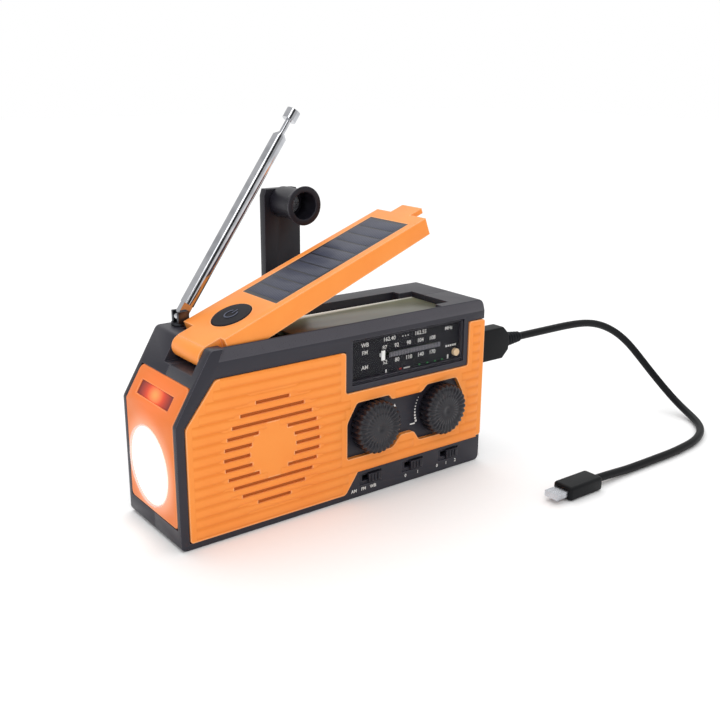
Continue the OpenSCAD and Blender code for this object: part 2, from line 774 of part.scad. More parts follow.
module lead_tip() color("#c3c6cb")
    block([connector_x1 - connector_l - tip_l, connector_x1 - connector_l],
          [connector_y - tip_w / 2, connector_y + tip_w / 2],
          [connector_z - tip_t / 2, connector_z + tip_t / 2]);

// ---- tuning and volume ----

module tuning_knob() color("#2a2930") knob(tune_x);

module volume_knob() color("#2a2930") knob(volume_x);

module tuning_shaft() color("#c9c4b4") {
    rod_y(tune_x, knob_z, [knob_back - knob_bore, control_y + 2.6], shaft_r);
    difference() {
        gear(tune_x, knob_z, [pinion_y0, pinion_y1], pinion_teeth, small_module, 90);
        rod_y(tune_x, knob_z, [pinion_y0 - 1, pinion_y1 + 1], shaft_r - 0.5);
    }
}

module volume_shaft() color("#c9c4b4")
    rod_y(volume_x, knob_z, [knob_back - knob_bore, control_y + 2.6], shaft_r);

// Rack, post and pointer, moved along by the tuning pinion
module dial_pointer() color("#f2f2f0") {
    pitch_z = knob_z + pitch_r;
    tooth = PI * small_module;
    rack_x0 = tune_x - rack_travel - 2.4;
    count = floor((rack_travel + 6) / tooth);
    half = tooth / 4 - backlash / 4;
    y = [pinion_y0 + 0.1, pinion_y1 - 0.1];
    difference() {
        block([rack_x0, track_low + 1], y, [pitch_z - small_module, pitch_z + 3.4]);
        for (i = [-count:2])
            slab([for (p = [[-1, 1.25], [1, 1.25], [1, -1.1], [-1, -1.1]])
                let (flare = tooth / 2 - half - p[1] * small_module * tan(20))
                [tune_x + i * tooth + p[0] * flare, pitch_z + p[1] * small_module]],
                [pinion_y0, pinion_y1]);
        for (i = [-count - 4:-count - 1])
            block([tune_x + i * tooth - 2, tune_x + i * tooth + 2], [pinion_y0, pinion_y1],
                  [pitch_z - 1, pitch_z - 0.5]);
    }
    block([track_low - 1, track_low + 1], y, [pitch_z + 2, pointer_z + 0.8]);
    block([track_low - 0.8, track_low + 0.8], [inner_y - 1.4, pinion_y0 + 0.2],
          [pointer_z - 0.8, pointer_z + 0.8]);
    block([track_low - 0.9, track_low + 0.9], [inner_y - 1.9, inner_y - 1.4],
          [pointer_z - 2.6, pointer_z + 2.6]);
}

module band_switch() color("#1d1c22") switch_cap(switch_xs[0]);

module torch_switch() color("#1d1c22") switch_cap(switch_xs[1]);

module alarm_switch() color("#1d1c22") switch_cap(switch_xs[2]);

// ---- solar flap ----

module flap_cover() color("#fd9f47")
    on_flap() difference() {
        union() {
            slab([[flap_start, flap_low_a], [flap_end, flap_low_b], [flap_end, flap_top],
                  [flap_start, flap_top]], [flap_y0, flap_y1]);
            block([0, flap_start + 1], [tongue_y0, tongue_y1], [-barrel_r + 0.2, flap_top]);
            rod_y(0, 0, [tongue_y0, tongue_y1], barrel_r);
            block([flap_end - 1, flap_end + 7], [button_y - 5, button_y + 8],
                  [flap_top - flap_plate, flap_top]);
        }
        slab([[flap_start + skirt, flap_low_a - 1], [flap_end + 1, flap_low_b - 1],
              [flap_end + 1, flap_top - flap_plate], [flap_start + skirt, flap_top - flap_plate]],
             [flap_y0 + skirt, flap_y1 - skirt]);
        block([solar_u0 - 0.1, solar_u1 + 0.1], [solar_y0 - 0.1, solar_y1 + 0.1],
              [flap_top - solar_t - 0.1, flap_top + 1]);
        translate([button_u, button_y, 0]) cylinder(r = button_r + 0.2, h = flap_top + 1);
        rod_y(0, 0, [tongue_y0 - 1, tongue_y1 + 1], pin_r + running);
    }

module flap_liner() color("#3c3b45")
    on_flap()
        block([flap_start + skirt + 0.1, button_u + button_r + 4],
              [flap_y0 + skirt + 0.1, flap_y1 - skirt - 0.1], [-2.6, -1.2]);

module solar_panel() color("#484b5e")
    on_flap()
        block([solar_u0, solar_u1], [solar_y0, solar_y1], [flap_top - solar_t - 0.1, flap_top - 0.1]);

module flap_button() color("#29272f")
    on_flap() translate([button_u, button_y, 0]) {
        translate([0, 0, 1.9]) cylinder(r = button_r, h = flap_top - 1.5);
        translate([0, 0, 0.9]) cylinder(r = button_r + 0.9, h = 1);
        translate([0, 0, 0.2]) cylinder(r = 2, h = 0.7);
    }

module flap_hinge_pin() color("#c3c6cb")
    rod_y(hinge_x, hinge_z, [tongue_y0 - 3, tongue_y1 + 3.5], pin_r);

// ---- crank ----

module crank_gear() color("#d9d6c8")
    difference() {
        gear(crank_x, crank_z, [gear_y0, gear_y1], crank_teeth, crank_module, idler_turn);
        rod_y(crank_x, crank_z, [gear_y0 - 1, gear_y1 + 1], crank_shaft_r);
    }

module crank_shaft() color("#c3c6cb")
    rod_y(crank_x, crank_z, [gear_y0 - 1, hub_y1 - 1], crank_shaft_r);

module crank_hub() color("#2a2930")
    difference() {
        union() {
            rod_y(crank_x, crank_z, [hub_y0, hub_y1], hub_r);
            for (s = [-1, 1])
                translate([crank_x + s * (ear_x0 + ear_x1) / 2, 0, 0]) {
                    w = (ear_x1 - ear_x0) / 2;
                    block([-w, w], [hub_y1 - 0.5, fold_y], [crank_z - ear_r, crank_z + ear_r]);
                    rod_x(fold_y, crank_z, [-w, w], ear_r);
                }
        }
        rod_y(crank_x, crank_z, [hub_y0 - 1, hub_y1 - 1], crank_shaft_r);
        rod_x(fold_y, crank_z, [crank_x - ear_x1 - 1, crank_x + ear_x1 + 1], fold_pin_r);
    }

module crank_fold_pin() color("#c3c6cb")
    rod_x(fold_y, crank_z, [crank_x - ear_x1, crank_x + ear_x1], fold_pin_r);

module crank_arm() color("#2a2930") {
    root = ear_x0 - 0.3;
    wide = ear_r + 1.5;
    top = crank_throw + 6;
    difference() {
        union() {
            slab([for (p = [[-root, 0], [root, 0], [root, wide], [arm_w / 2, wide + 2.5],
                            [arm_w / 2, top - 6], [arm_w / 2 - 2, top], [-arm_w / 2 + 1, top],
                            [-arm_w / 2, top - 3], [-arm_w / 2, wide + 2.5], [-root, wide]])
                  [crank_x + p[0], crank_z + p[1]]], [arm_y0, arm_y0 + arm_t]);
            rod_x(fold_y, crank_z, [crank_x - root, crank_x + root], fold_r);
        }
        rod_x(fold_y, crank_z, [crank_x - root - 1, crank_x + root + 1], fold_pin_r + running);
        rod_y(crank_x, crank_z + crank_throw, [arm_y0 - 1, arm_y0 + arm_t + 1], handle_pin_r);
    }
}

module handle_pin() color("#c3c6cb") {
    floor_y = yb + handle_gap + handle_bore_d;
    rod_y(crank_x, crank_z + crank_throw, [floor_y - 0.3, arm_y0 + arm_t], handle_pin_r);
    rod_y(crank_x, crank_z + crank_throw, [floor_y - 1.6, floor_y - 0.3], handle_pin_r + 2);
}

module crank_handle() color("#2a2930")
    translate([crank_x, yb + handle_gap, crank_z + crank_throw]) rotate([-90, 0, 0])
        difference() {
            union() {
                cylinder(r1 = handle_r1, r2 = handle_r0, h = 5);
                cylinder(r = handle_r0, h = handle_l);
            }
            translate([0, 0, -1]) cylinder(r = handle_r0 - 0.9, h = handle_bore_d + 1);
            cylinder(r = handle_pin_r + running, h = handle_l + 1);
        }

module idler_gear() color("#d9d6c8")
    difference() {
        union() {
            gear(idler_x, idler_z, [big_y1 - 0.5, gear_y1], idler_small, crank_module,
                 idler_turn + 180 + 180 / idler_small);
            gear(idler_x, idler_z, [big_y0, big_y1], idler_big, small_module, rotor_turn);
        }
        rod_y(idler_x, idler_z, [big_y0 - 1, gear_y1 + 1], axle_r + running);
    }

module dynamo_rotor() color("#c3c6cb") {
    gear(rotor_x, rotor_z, [big_y0 - 0.5, big_y1 + 0.4], rotor_teeth, small_module,
         rotor_turn + 180 + 180 / rotor_teeth);
    rod_y(rotor_x, rotor_z, [dynamo_y0 + 3, big_y0], axle_r);
}

// ---- aerial ----

module aerial_bush() color("#6f7276")
    difference() {
        rod_z(aerial_x, aerial_y, [body_h - 7, body_h], post_r + 1.05);
        rod_z(aerial_x, aerial_y, [body_h - 8, body_h + 1], post_r + running);
    }

module aerial_swivel() color("#b9bcc2") {
    rod_z(aerial_x, aerial_y, [body_h - 6.5, body_h + 0.4], post_r);
    rod_z(aerial_x, aerial_y, [body_h + 0.3, body_h + 1.3], 3.9);
    for (s = [-1, 1])
        block([aerial_x - fork_half, aerial_x + fork_half],
              [aerial_y + s * fork_half - 0.7, aerial_y + s * fork_half + 0.7],
              [body_h + 1, aerial_z + fork_half]);
    rod_y(aerial_x, aerial_z, [aerial_y - fork_half, aerial_y + fork_half], pivot_r);
}

// Places children given along the aerial from its pivot
module on_aerial()
    translate([aerial_x, aerial_y, aerial_z]) rotate([0, 90 - aerial_angle, 0]) children();

module aerial_tube(outer, length, start)
    on_aerial() translate([0, 0, start]) difference() {
        cylinder(r = outer, h = length);
        translate([0, 0, -1]) cylinder(r = outer - tube_wall, h = length + 2);
    }

module aerial_tube_1() color("#c9ccd1") {
    aerial_tube(aerial_r, aerial_l, foot_l);
    on_aerial() {
        difference() {
            union() {
                rotate([90, 0, 0]) translate([0, 0, -1.5]) cylinder(r = 2.2, h = 3);
                translate([-2.2, -1.5, 0]) cube([4.4, 3, foot_l]);
            }
            rotate([90, 0, 0]) translate([0, 0, -2]) cylinder(r = pivot_r + running, h = 4);
        }
        translate([0, 0, foot_l - 1]) cylinder(r = aerial_r, h = 1.5);
    }
}

module aerial_tube_2() color("#d2d5da")
    aerial_tube(aerial_r - tube_step, aerial_l - 1.5, foot_l + 2);

module aerial_tube_3() color("#c9ccd1")
    aerial_tube(aerial_r - 2 * tube_step, aerial_l - 2, foot_l + 3);

module aerial_tube_4() color("#d2d5da")
    aerial_tube(aerial_r - 3 * tube_step, aerial_l - 2.5, foot_l + 4);

module aerial_rod() color("#c9ccd1")
    on_aerial() {
        translate([0, 0, foot_l + 17]) cylinder(r = aerial_r - 4 * tube_step, h = aerial_l - 17 + rod_out);
        translate([0, 0, foot_l + aerial_l + rod_out]) cylinder(r = aerial_r, h = 4.5);
    }

front_shell();
rear_shell();
front_panel();
end_panel();
dial_window();
dial_plate();
indicator_led();
speaker_frame();
speaker_cone();
speaker_magnet();
main_board();
battery_cell();
torch_lens();
torch_reflector();
torch_led();
sos_lens();
lamp_diffuser();
lamp_board();
usb_port();
charge_port();
headphone_jack();
volume_control();
tuning_capacitor();
dynamo_can();
idler_axle();
case_screws();
flap_hinge_pin();
aerial_bush();
usb_plug_shell();
usb_plug();
charging_lead();
lead_connector();
lead_tip();
tuning_knob();
tuning_shaft();
dial_pointer();
volume_knob();
volume_shaft();
band_switch();
torch_switch();
alarm_switch();
flap_cover();
flap_liner();
solar_panel();
flap_button();
crank_gear();
crank_shaft();
crank_hub();
crank_arm();
crank_fold_pin();
crank_handle();
handle_pin();
idler_gear();
dynamo_rotor();
aerial_swivel();
aerial_tube_1();
aerial_tube_2();
aerial_tube_3();
aerial_tube_4();
aerial_rod();
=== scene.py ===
"""Emergency radio with a solar flap, reading lamp, torch, hand crank and aerial.

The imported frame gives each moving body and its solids. This script softens the solids
that show, adds what a mould, a print shop and an assembly bench would add, and dresses
every piece in a finish named for its real material. Lengths in the classes are in
millimetres; X runs along the casing, the front faces -Y and Z is up.
"""

import logging
import math
from dataclasses import dataclass, field
from enum import Enum

import bmesh
import bpy
from mathutils import Matrix, Vector
from mathutils.bvhtree import BVHTree


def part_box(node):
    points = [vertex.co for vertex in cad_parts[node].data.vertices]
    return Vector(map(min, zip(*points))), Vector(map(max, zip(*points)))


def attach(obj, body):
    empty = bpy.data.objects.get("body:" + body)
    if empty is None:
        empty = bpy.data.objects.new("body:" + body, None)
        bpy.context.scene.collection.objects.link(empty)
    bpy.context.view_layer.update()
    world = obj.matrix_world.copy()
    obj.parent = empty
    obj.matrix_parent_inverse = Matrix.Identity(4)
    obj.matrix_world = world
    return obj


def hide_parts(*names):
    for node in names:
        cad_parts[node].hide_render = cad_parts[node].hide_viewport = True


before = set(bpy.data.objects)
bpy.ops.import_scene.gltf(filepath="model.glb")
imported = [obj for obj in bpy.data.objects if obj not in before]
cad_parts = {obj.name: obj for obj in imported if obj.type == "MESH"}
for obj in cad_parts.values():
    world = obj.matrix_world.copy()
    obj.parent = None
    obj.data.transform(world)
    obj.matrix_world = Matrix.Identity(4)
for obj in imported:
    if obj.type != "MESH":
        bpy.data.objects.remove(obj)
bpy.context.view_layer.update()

MM = 0.001
log = logging.getLogger("radio")

Form = bmesh.types.BMesh
Material = bpy.types.Material
Piece = bpy.types.Object


class Body(Enum):
    """The moving bodies that new pieces ride on."""

    CASING = "casing"
    TUNER = "tuner"
    POINTER = "pointer"
    VOLUME = "volume"
    BAND = "band_slider"
    TORCH = "torch_slider"
    ALARM = "alarm_slider"
    FLAP = "flap"
    BUTTON = "lamp_button"
    CRANK = "crank"
    ARM = "arm"
    HANDLE = "handle"


class Spread(Enum):
    """How a lit plastic's light falls off over it."""

    ROUND = "round"
    ACROSS = "across"


# ---- materials ----


def linear(code: str) -> tuple[float, float, float, float]:
    """Turn an sRGB hex colour into linear light.

    Args:
        code: Colour as #RRGGBB.

    Returns:
        Linear red, green, blue and an alpha of one.
    """
    shares = [int(code[i:i + 2], 16) / 255 for i in (1, 3, 5)]
    return (*(s / 12.92 if s <= 0.04045 else ((s + 0.055) / 1.055) ** 2.4 for s in shares), 1.0)


def add_node(tree: bpy.types.NodeTree, kind: str, settings: dict | None = None,
             links: dict | None = None) -> bpy.types.Node:
    """Add a node with its settings and links.

    Args:
        tree: Node tree of the material.
        kind: Blender's name for the node.
        settings: Values by socket name, socket number or property name.
        links: Output sockets to join, by input name or number.

    Returns:
        The new node.
    """
    node = tree.nodes.new(kind)
    for key, value in (settings or {}).items():
        if isinstance(key, int) or key in node.inputs:
            node.inputs[key].default_value = value
        else:
            setattr(node, key, value)
    for key, socket in (links or {}).items():
        tree.links.new(socket, node.inputs[key])
    return node


def new_material(name: str) -> tuple[Material, bpy.types.NodeTree, bpy.types.Node]:
    """Start a material with an empty shader.

    Args:
        name: Name of the finish.

    Returns:
        The material, its node tree and its Principled shader.
    """
    material = bpy.data.materials.new(name)
    material.use_nodes = True
    tree = material.node_tree
    return material, tree, tree.nodes["Principled BSDF"]


def noise(tree: bpy.types.NodeTree, size: float, detail: float = 2.0,
          stretch: tuple[float, float, float] = (1.0, 1.0, 1.0)) -> bpy.types.Node:
    """Add noise whose lumps have a real size.

    Args:
        tree: Node tree of the material.
        size: Size of a lump, in millimetres.
        detail: Octaves of finer noise.
        stretch: Scale of the pattern along X, Y and Z; below one draws it out.

    Returns:
        The noise node.
    """
    place = add_node(tree, "ShaderNodeTexCoord")
    turned = add_node(tree, "ShaderNodeMapping", {"Scale": stretch}, {"Vector": place.outputs["Object"]})
    return add_node(tree, "ShaderNodeTexNoise", {"Scale": 1 / (size * MM), "Detail": detail},
                    {"Vector": turned.outputs["Vector"]})


def scuff_and_highlight_edges(tree: bpy.types.NodeTree, reach: float) -> bpy.types.NodeSocket:
    """Find the edges of a piece, which are painted paler: partly scuffing from handling and partly a painted highlight
    where a rounded edge catches the light.

    Args:
        tree: Node tree of the material.
        reach: Width of the pale line, in millimetres.

    Returns:
        A socket that is one on an edge and nought on a flat.
    """
    rounded = add_node(tree, "ShaderNodeBevel", {"samples": 4, "Radius": reach * MM})
    true = add_node(tree, "ShaderNodeNewGeometry")
    dot = add_node(tree, "ShaderNodeVectorMath", {"operation": "DOT_PRODUCT"},
                   {0: rounded.outputs["Normal"], 1: true.outputs["Normal"]})
    return add_node(tree, "ShaderNodeMapRange", {"From Min": 0.998, "From Max": 0.90, "To Min": 0.0, "To Max": 1.0},
                    {"Value": dot.outputs["Value"]}).outputs["Result"]


def blend_colours(tree: bpy.types.NodeTree, factor: bpy.types.NodeSocket, first: str | bpy.types.NodeSocket,
                  second: str) -> bpy.types.NodeSocket:
    """Mix two colours by a factor.

    Args:
        tree: Node tree of the material.
        factor: Share of the second colour.
        first: A hex colour or a colour socket.
        second: A hex colour.

    Returns:
        The mixed colour.
    """
    mix = add_node(tree, "ShaderNodeMix", {"data_type": "RGBA"}, {0: factor})
    mix.inputs[7].default_value = linear(second)
    if isinstance(first, str):
        mix.inputs[6].default_value = linear(first)
    else:
        tree.links.new(first, mix.inputs[6])
    return mix.outputs[2]


@dataclass(frozen=True)
class Glow:
    """Light painted on as a glow, fading out round a lamp or a lit point."""

    tone: str
    centre: tuple[float, float, float]
    reach: tuple[float, float, float]
    strength: float


@dataclass(frozen=True)
class MouldedPlastic:
    """Plastic from an eroded mould: fine pits, a little mottle, and paler edges that are partly scuffing and partly a
    painted highlight.
    """

    name: str
    tone: str
    shade: str
    edge: str
    roughness: float = 0.42
    pit: float = 0.4
    depth: float = 0.014
    scuff_highlight_reach: float = 0.5
    scuff_highlight_share: float = 0.6
    gloss: float = 0.5
    pitch: float = 0.0
    glows: tuple[Glow, ...] = ()

    def lit(self, tree: bpy.types.NodeTree, glow: Glow) -> bpy.types.NodeSocket:
        """Fade a lamp's light out round the lamp.

        Args:
            tree: Node tree of the material.
            glow: The lamp's light.

        Returns:
            The light as a colour.
        """
        place = add_node(tree, "ShaderNodeTexCoord")
        scale = [1 / (r * MM) for r in glow.reach]
        local = add_node(tree, "ShaderNodeMapping",
                         {"Scale": scale, "Location": [-c * MM * k for c, k in zip(glow.centre, scale)]},
                         {"Vector": place.outputs["Object"]})
        fall = add_node(tree, "ShaderNodeTexGradient", {"gradient_type": "QUADRATIC_SPHERE"},
                        {"Vector": local.outputs["Vector"]})
        power = add_node(tree, "ShaderNodeMath", {"operation": "MULTIPLY", 1: glow.strength}, {0: fall.outputs["Fac"]})
        return add_node(tree, "ShaderNodeVectorMath", {"operation": "SCALE", 0: linear(glow.tone)[:3]},
                        {"Scale": power.outputs["Value"]}).outputs["Vector"]

    def groove_shade(self, tree: bpy.types.NodeTree, body: bpy.types.NodeSocket) -> bpy.types.NodeSocket:
        """Paint shade into each groove between level ribs, a deeper orange where shade would fall.

        Args:
            tree: Node tree of the material.
            body: The plastic's colour.

        Returns:
            The colour with painted shade in each groove.
        """
        place = add_node(tree, "ShaderNodeTexCoord")
        heights = add_node(tree, "ShaderNodeSeparateXYZ", {}, {"Vector": place.outputs["Object"]})
        turns = add_node(tree, "ShaderNodeMath", {"operation": "MULTIPLY_ADD", 1: math.tau / (self.pitch * MM),
                                                  2: -33.0 / self.pitch * math.tau}, {0: heights.outputs["Z"]})
        wave = add_node(tree, "ShaderNodeMath", {"operation": "COSINE"}, {0: turns.outputs["Value"]})
        share = add_node(tree, "ShaderNodeMapRange", {"From Min": -0.2, "From Max": 1.0, "To Min": 0.0, "To Max": 0.8},
                         {"Value": wave.outputs["Value"]})
        # Painted shade: #EE8630 darkens each groove between the ribs
        return blend_colours(tree, share.outputs["Result"], body, "#EE8630")

    def make(self) -> Material:
        """Build the material."""
        material, tree, shader = new_material(self.name)
        cloud = noise(tree, 14.0, 3.0)
        patches = add_node(tree, "ShaderNodeMapRange",
                           {"From Min": 0.35, "From Max": 0.7, "To Min": 0.0, "To Max": 0.6},
                           {"Value": cloud.outputs["Fac"]})
        body = blend_colours(tree, patches.outputs["Result"], self.tone, self.shade)
        # Where the plastic is ribbed, painted shade goes into each groove
        if self.pitch:
            body = self.groove_shade(tree, body)
        # Paler edges: partly scuffing from handling, partly a painted highlight where the edge catches the light
        rim = add_node(tree, "ShaderNodeMath", {"operation": "MULTIPLY", 1: self.scuff_highlight_share},
                       {0: scuff_and_highlight_edges(tree, self.scuff_highlight_reach)})
        tree.links.new(blend_colours(tree, rim.outputs["Value"], body, self.edge), shader.inputs["Base Color"])
        pits = noise(tree, self.pit, 2.0)
        sheen = add_node(tree, "ShaderNodeMapRange",
                         {"To Min": self.roughness - 0.07, "To Max": self.roughness + 0.07},
                         {"Value": pits.outputs["Fac"]})
        tree.links.new(sheen.outputs["Result"], shader.inputs["Roughness"])
        bump = add_node(tree, "ShaderNodeBump", {"Strength": 1.0, "Distance": self.depth * MM},
                        {"Height": pits.outputs["Fac"]})
        tree.links.new(bump.outputs["Normal"], shader.inputs["Normal"])
        shader.inputs["IOR"].default_value = 1.53
        shader.inputs["Specular IOR Level"].default_value = self.gloss
        lights = [self.lit(tree, glow) for glow in self.glows]
        if lights:
            total = lights[0]
            for light in lights[1:]:
                total = add_node(tree, "ShaderNodeVectorMath", {"operation": "ADD"},
                                 {0: total, 1: light}).outputs["Vector"]
            tree.links.new(total, shader.inputs["Emission Color"])
            shader.inputs["Emission Strength"].default_value = 1.0
        return material


@dataclass(frozen=True)
class PlatedMetal:
    """Metal with drawing marks along its length and a few dull patches."""

    name: str
    tone: str
    roughness: float = 0.14
    mark: float = 0.5
    stretch: tuple[float, float, float] = (1.0, 1.0, 1.0)

    def make(self) -> Material:
        """Build the material."""
        material, tree, shader = new_material(self.name)
        shader.inputs["Metallic"].default_value = 1.0
        marks = noise(tree, self.mark, 3.0, self.stretch)
        sheen = add_node(tree, "ShaderNodeMapRange",
                         {"To Min": self.roughness * 0.6, "To Max": self.roughness * 1.6},
                         {"Value": marks.outputs["Fac"]})
        tree.links.new(sheen.outputs["Result"], shader.inputs["Roughness"])
        dull = noise(tree, 6.0, 2.0)
        patches = add_node(tree, "ShaderNodeMapRange", {"From Min": 0.4, "From Max": 0.7, "To Min": 0.0, "To Max": 0.5},
                           {"Value": dull.outputs["Fac"]})
        tree.links.new(blend_colours(tree, patches.outputs["Result"], self.tone, "#8E9196"),
                       shader.inputs["Base Color"])
        bump = add_node(tree, "ShaderNodeBump", {"Strength": 0.4, "Distance": 0.004 * MM},
                        {"Height": marks.outputs["Fac"]})
        tree.links.new(bump.outputs["Normal"], shader.inputs["Normal"])
        return material


@dataclass(frozen=True)
class LitPlastic:
    """Milky or tinted plastic with a lamp behind it, brightest at the lamp."""

    name: str
    bright: str
    middle: str
    dark: str
    centre: tuple[float, float, float]
    reach: tuple[float, float, float]
    strength: float
    floor: float = 0.1
    spread: Spread = Spread.ROUND
    turn: float = 0.45

    def make(self) -> Material:
        """Build the material."""
        material, tree, shader = new_material(self.name)
        place = add_node(tree, "ShaderNodeTexCoord")
        scale = [1 / (r * MM) for r in self.reach]
        shift = [-c * MM * s for c, s in zip(self.centre, scale)]
        local = add_node(tree, "ShaderNodeMapping", {"Scale": scale, "Location": shift},
                         {"Vector": place.outputs["Object"]})
        if self.spread is Spread.ROUND:
            fall = add_node(tree, "ShaderNodeTexGradient", {"gradient_type": "SPHERICAL"},
                            {"Vector": local.outputs["Vector"]}).outputs["Fac"]
        else:
            sides = add_node(tree, "ShaderNodeSeparateXYZ", {}, {"Vector": local.outputs["Vector"]})
            fall = add_node(tree, "ShaderNodeMath", {"operation": "ADD", "use_clamp": True},
                            {0: sides.outputs["X"], 1: sides.outputs["Y"]}).outputs["Value"]
        ramp = add_node(tree, "ShaderNodeValToRGB", {}, {"Fac": fall})
        stops = ramp.color_ramp.elements
        stops[0].color, stops[1].color = linear(self.dark), linear(self.bright)
        stops.new(self.turn).color = linear(self.middle)
        power = add_node(tree, "ShaderNodeMapRange",
                         {"From Min": self.turn * 0.6, "To Min": self.floor, "To Max": self.strength}, {"Value": fall})
        tree.links.new(ramp.outputs["Color"], shader.inputs["Base Color"])
        tree.links.new(ramp.outputs["Color"], shader.inputs["Emission Color"])
        tree.links.new(power.outputs["Result"], shader.inputs["Emission Strength"])
        frost = noise(tree, 0.8, 2.0)
        bump = add_node(tree, "ShaderNodeBump", {"Strength": 0.5, "Distance": 0.03 * MM},
                        {"Height": frost.outputs["Fac"]})
        tree.links.new(bump.outputs["Normal"], shader.inputs["Normal"])
        shader.inputs["Roughness"].default_value = 0.28
        return material


@dataclass(frozen=True)
class ClearSheet:
    """Smoked acrylic sheet, seen through but with a hard gloss."""

    name: str
    tone: str
    opacity: float

    def make(self) -> Material:
        """Build the material."""
        material, tree, shader = new_material(self.name)
        smears = noise(tree, 9.0, 3.0)
        sheen = add_node(tree, "ShaderNodeMapRange", {"To Min": 0.02, "To Max": 0.12}, {"Value": smears.outputs["Fac"]})
        tree.links.new(sheen.outputs["Result"], shader.inputs["Roughness"])
        shader.inputs["Base Color"].default_value = linear(self.tone)
        shader.inputs["Alpha"].default_value = self.opacity
        shader.inputs["IOR"].default_value = 1.49
        return material


@dataclass(frozen=True)
class Ink:
    """Pad-printed ink, thin in places."""

    name: str
    tone: str
    thin: str

    def make(self) -> Material:
        """Build the material."""
        material, tree, shader = new_material(self.name)
        cover = noise(tree, 0.5, 2.0)
        gaps = add_node(tree, "ShaderNodeMapRange", {"From Min": 0.5, "From Max": 0.8}, {"Value": cover.outputs["Fac"]})
        tree.links.new(blend_colours(tree, gaps.outputs["Result"], self.tone, self.thin), shader.inputs["Base Color"])
        shader.inputs["Roughness"].default_value = 0.5
        return material


@dataclass(frozen=True)
class SolarCell:
    """Blue-grey silicon under a clear laminate, with fine collecting fingers."""

    name: str
    tone: str
    shade: str
    angle: float
    finger: float = 1.3

    def make(self) -> Material:
        """Build the material."""
        material, tree, shader = new_material(self.name)
        place = add_node(tree, "ShaderNodeTexCoord")
        level = add_node(tree, "ShaderNodeMapping", {"Rotation": (0.0, math.radians(self.angle), 0.0)},
                         {"Vector": place.outputs["Object"]})
        # The real fingers are 0.1 mm wide and too fine to show, so they are drawn coarser
        fingers = add_node(tree, "ShaderNodeTexWave",
                           {"bands_direction": "Y", "Scale": math.pi / 10 / (self.finger * MM), "Distortion": 0.3},
                           {"Vector": level.outputs["Vector"]})
        lines = add_node(tree, "ShaderNodeMapRange", {"From Min": 0.75, "From Max": 1.0, "To Min": 0.0, "To Max": 0.35},
                         {"Value": fingers.outputs["Fac"]})
        grain = noise(tree, 5.0, 3.0)
        base = blend_colours(tree, grain.outputs["Fac"], self.tone, self.shade)
        tree.links.new(blend_colours(tree, lines.outputs["Result"], base, "#7A7E92"), shader.inputs["Base Color"])
        shader.inputs["Roughness"].default_value = 0.5
        shader.inputs["Specular IOR Level"].default_value = 0.3
        shader.inputs["Coat Weight"].default_value = 0.08
        shader.inputs["Coat Roughness"].default_value = 0.2
        return material


@dataclass(frozen=True)
class WovenScreen:
    """Nylon dust screen behind the loudspeaker slots."""

    name: str
    tone: str
    gap: str
    thread: float = 0.5

    def make(self) -> Material:
        """Build the material."""
        material, tree, shader = new_material(self.name)
        place = add_node(tree, "ShaderNodeTexCoord")
        weave = add_node(tree, "ShaderNodeTexVoronoi", {"Scale": 1 / (self.thread * MM), "Randomness": 0.15},
                         {"Vector": place.outputs["Object"]})
        tree.links.new(blend_colours(tree, weave.outputs["Distance"], self.tone, self.gap), shader.inputs["Base Color"])
        bump = add_node(tree, "ShaderNodeBump", {"Distance": 0.1 * MM}, {"Height": weave.outputs["Distance"]})
        tree.links.new(bump.outputs["Normal"], shader.inputs["Normal"])
        shader.inputs["Roughness"].default_value = 0.8
        return material


# ---- forms ----


def add_piece(name: str, form: Form, finish: Material, body: Body,
              crease: float = 32.0) -> Piece:
    """Turn a form into a finished piece on its body.

    Args:
        name: Name of the piece.
        form: Its shape, in metres, where it belongs.
        finish: Its material.
        body: The body it moves with.
        crease: Angle between faces, in degrees, above which an edge stays sharp.

    Returns:
        The piece.
    """
    for face in form.faces:
        face.smooth = True
    for edge in form.edges:
        edge.smooth = edge.is_manifold and edge.calc_face_angle() < math.radians(crease)
    mesh = bpy.data.meshes.new(name)
    form.to_mesh(mesh)
    form.free()
    mesh.materials.append(finish)
    piece = bpy.data.objects.new(name, mesh)
    bpy.context.scene.collection.objects.link(piece)
    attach(piece, body.value)
    return piece


def dress(finish: Material, *nodes: str) -> None:
    """Give CAD nodes a finish.

    Args:
        finish: Material they take.
        nodes: Names of the nodes.
    """
    for node in nodes:
        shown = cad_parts[node]
        for held in shown.material_slots:
            held.link = "OBJECT"
            held.material = finish


def merged(node: str) -> Form:
    """Copy a CAD node's mesh with its corners joined and its flats whole.

    Args:
        node: Name of the node.

    Returns:
        The copy, which the caller frees or places.
    """
    form = bmesh.new()
    form.from_mesh(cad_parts[node].data)
    bmesh.ops.remove_doubles(form, verts=form.verts, dist=1e-6)
    bmesh.ops.dissolve_limit(form, angle_limit=math.radians(0.6), verts=form.verts, edges=form.edges)
    return form


def round_corners(form: Form, along: tuple[Vector, ...], radius: float,
                  spare: tuple[Vector, float] | None = None, steps: int = 5) -> None:
    """Round the outline of a plate in its own plane.

    Args:
        form: The plate.
        along: Directions of the corner edges to round.
        radius: Radius of the corners, in millimetres.
        spare: Middle and radius of a round area seen along Y whose corners stay sharp.
        steps: Facets round a corner.
    """
    edges = []
    for edge in form.edges:
        if not edge.is_manifold or abs(edge.calc_face_angle_signed()) < math.radians(14):
            continue
        middle = (edge.verts[0].co + edge.verts[1].co) / 2 / MM
        if spare and math.dist((middle.x, middle.z), (spare[0].x, spare[0].z)) < spare[1]:
            continue
        if not spare and edge.calc_face_angle_signed() < 0:
            continue
        line = (edge.verts[1].co - edge.verts[0].co).normalized()
        if any(abs(line.dot(axis)) > 0.995 for axis in along):
            edges.append(edge)
    bmesh.ops.bevel(form, geom=edges, offset=radius * MM, offset_type="OFFSET", affect="EDGES", segments=steps,
                    profile=0.5, material=-1, clamp_overlap=True)


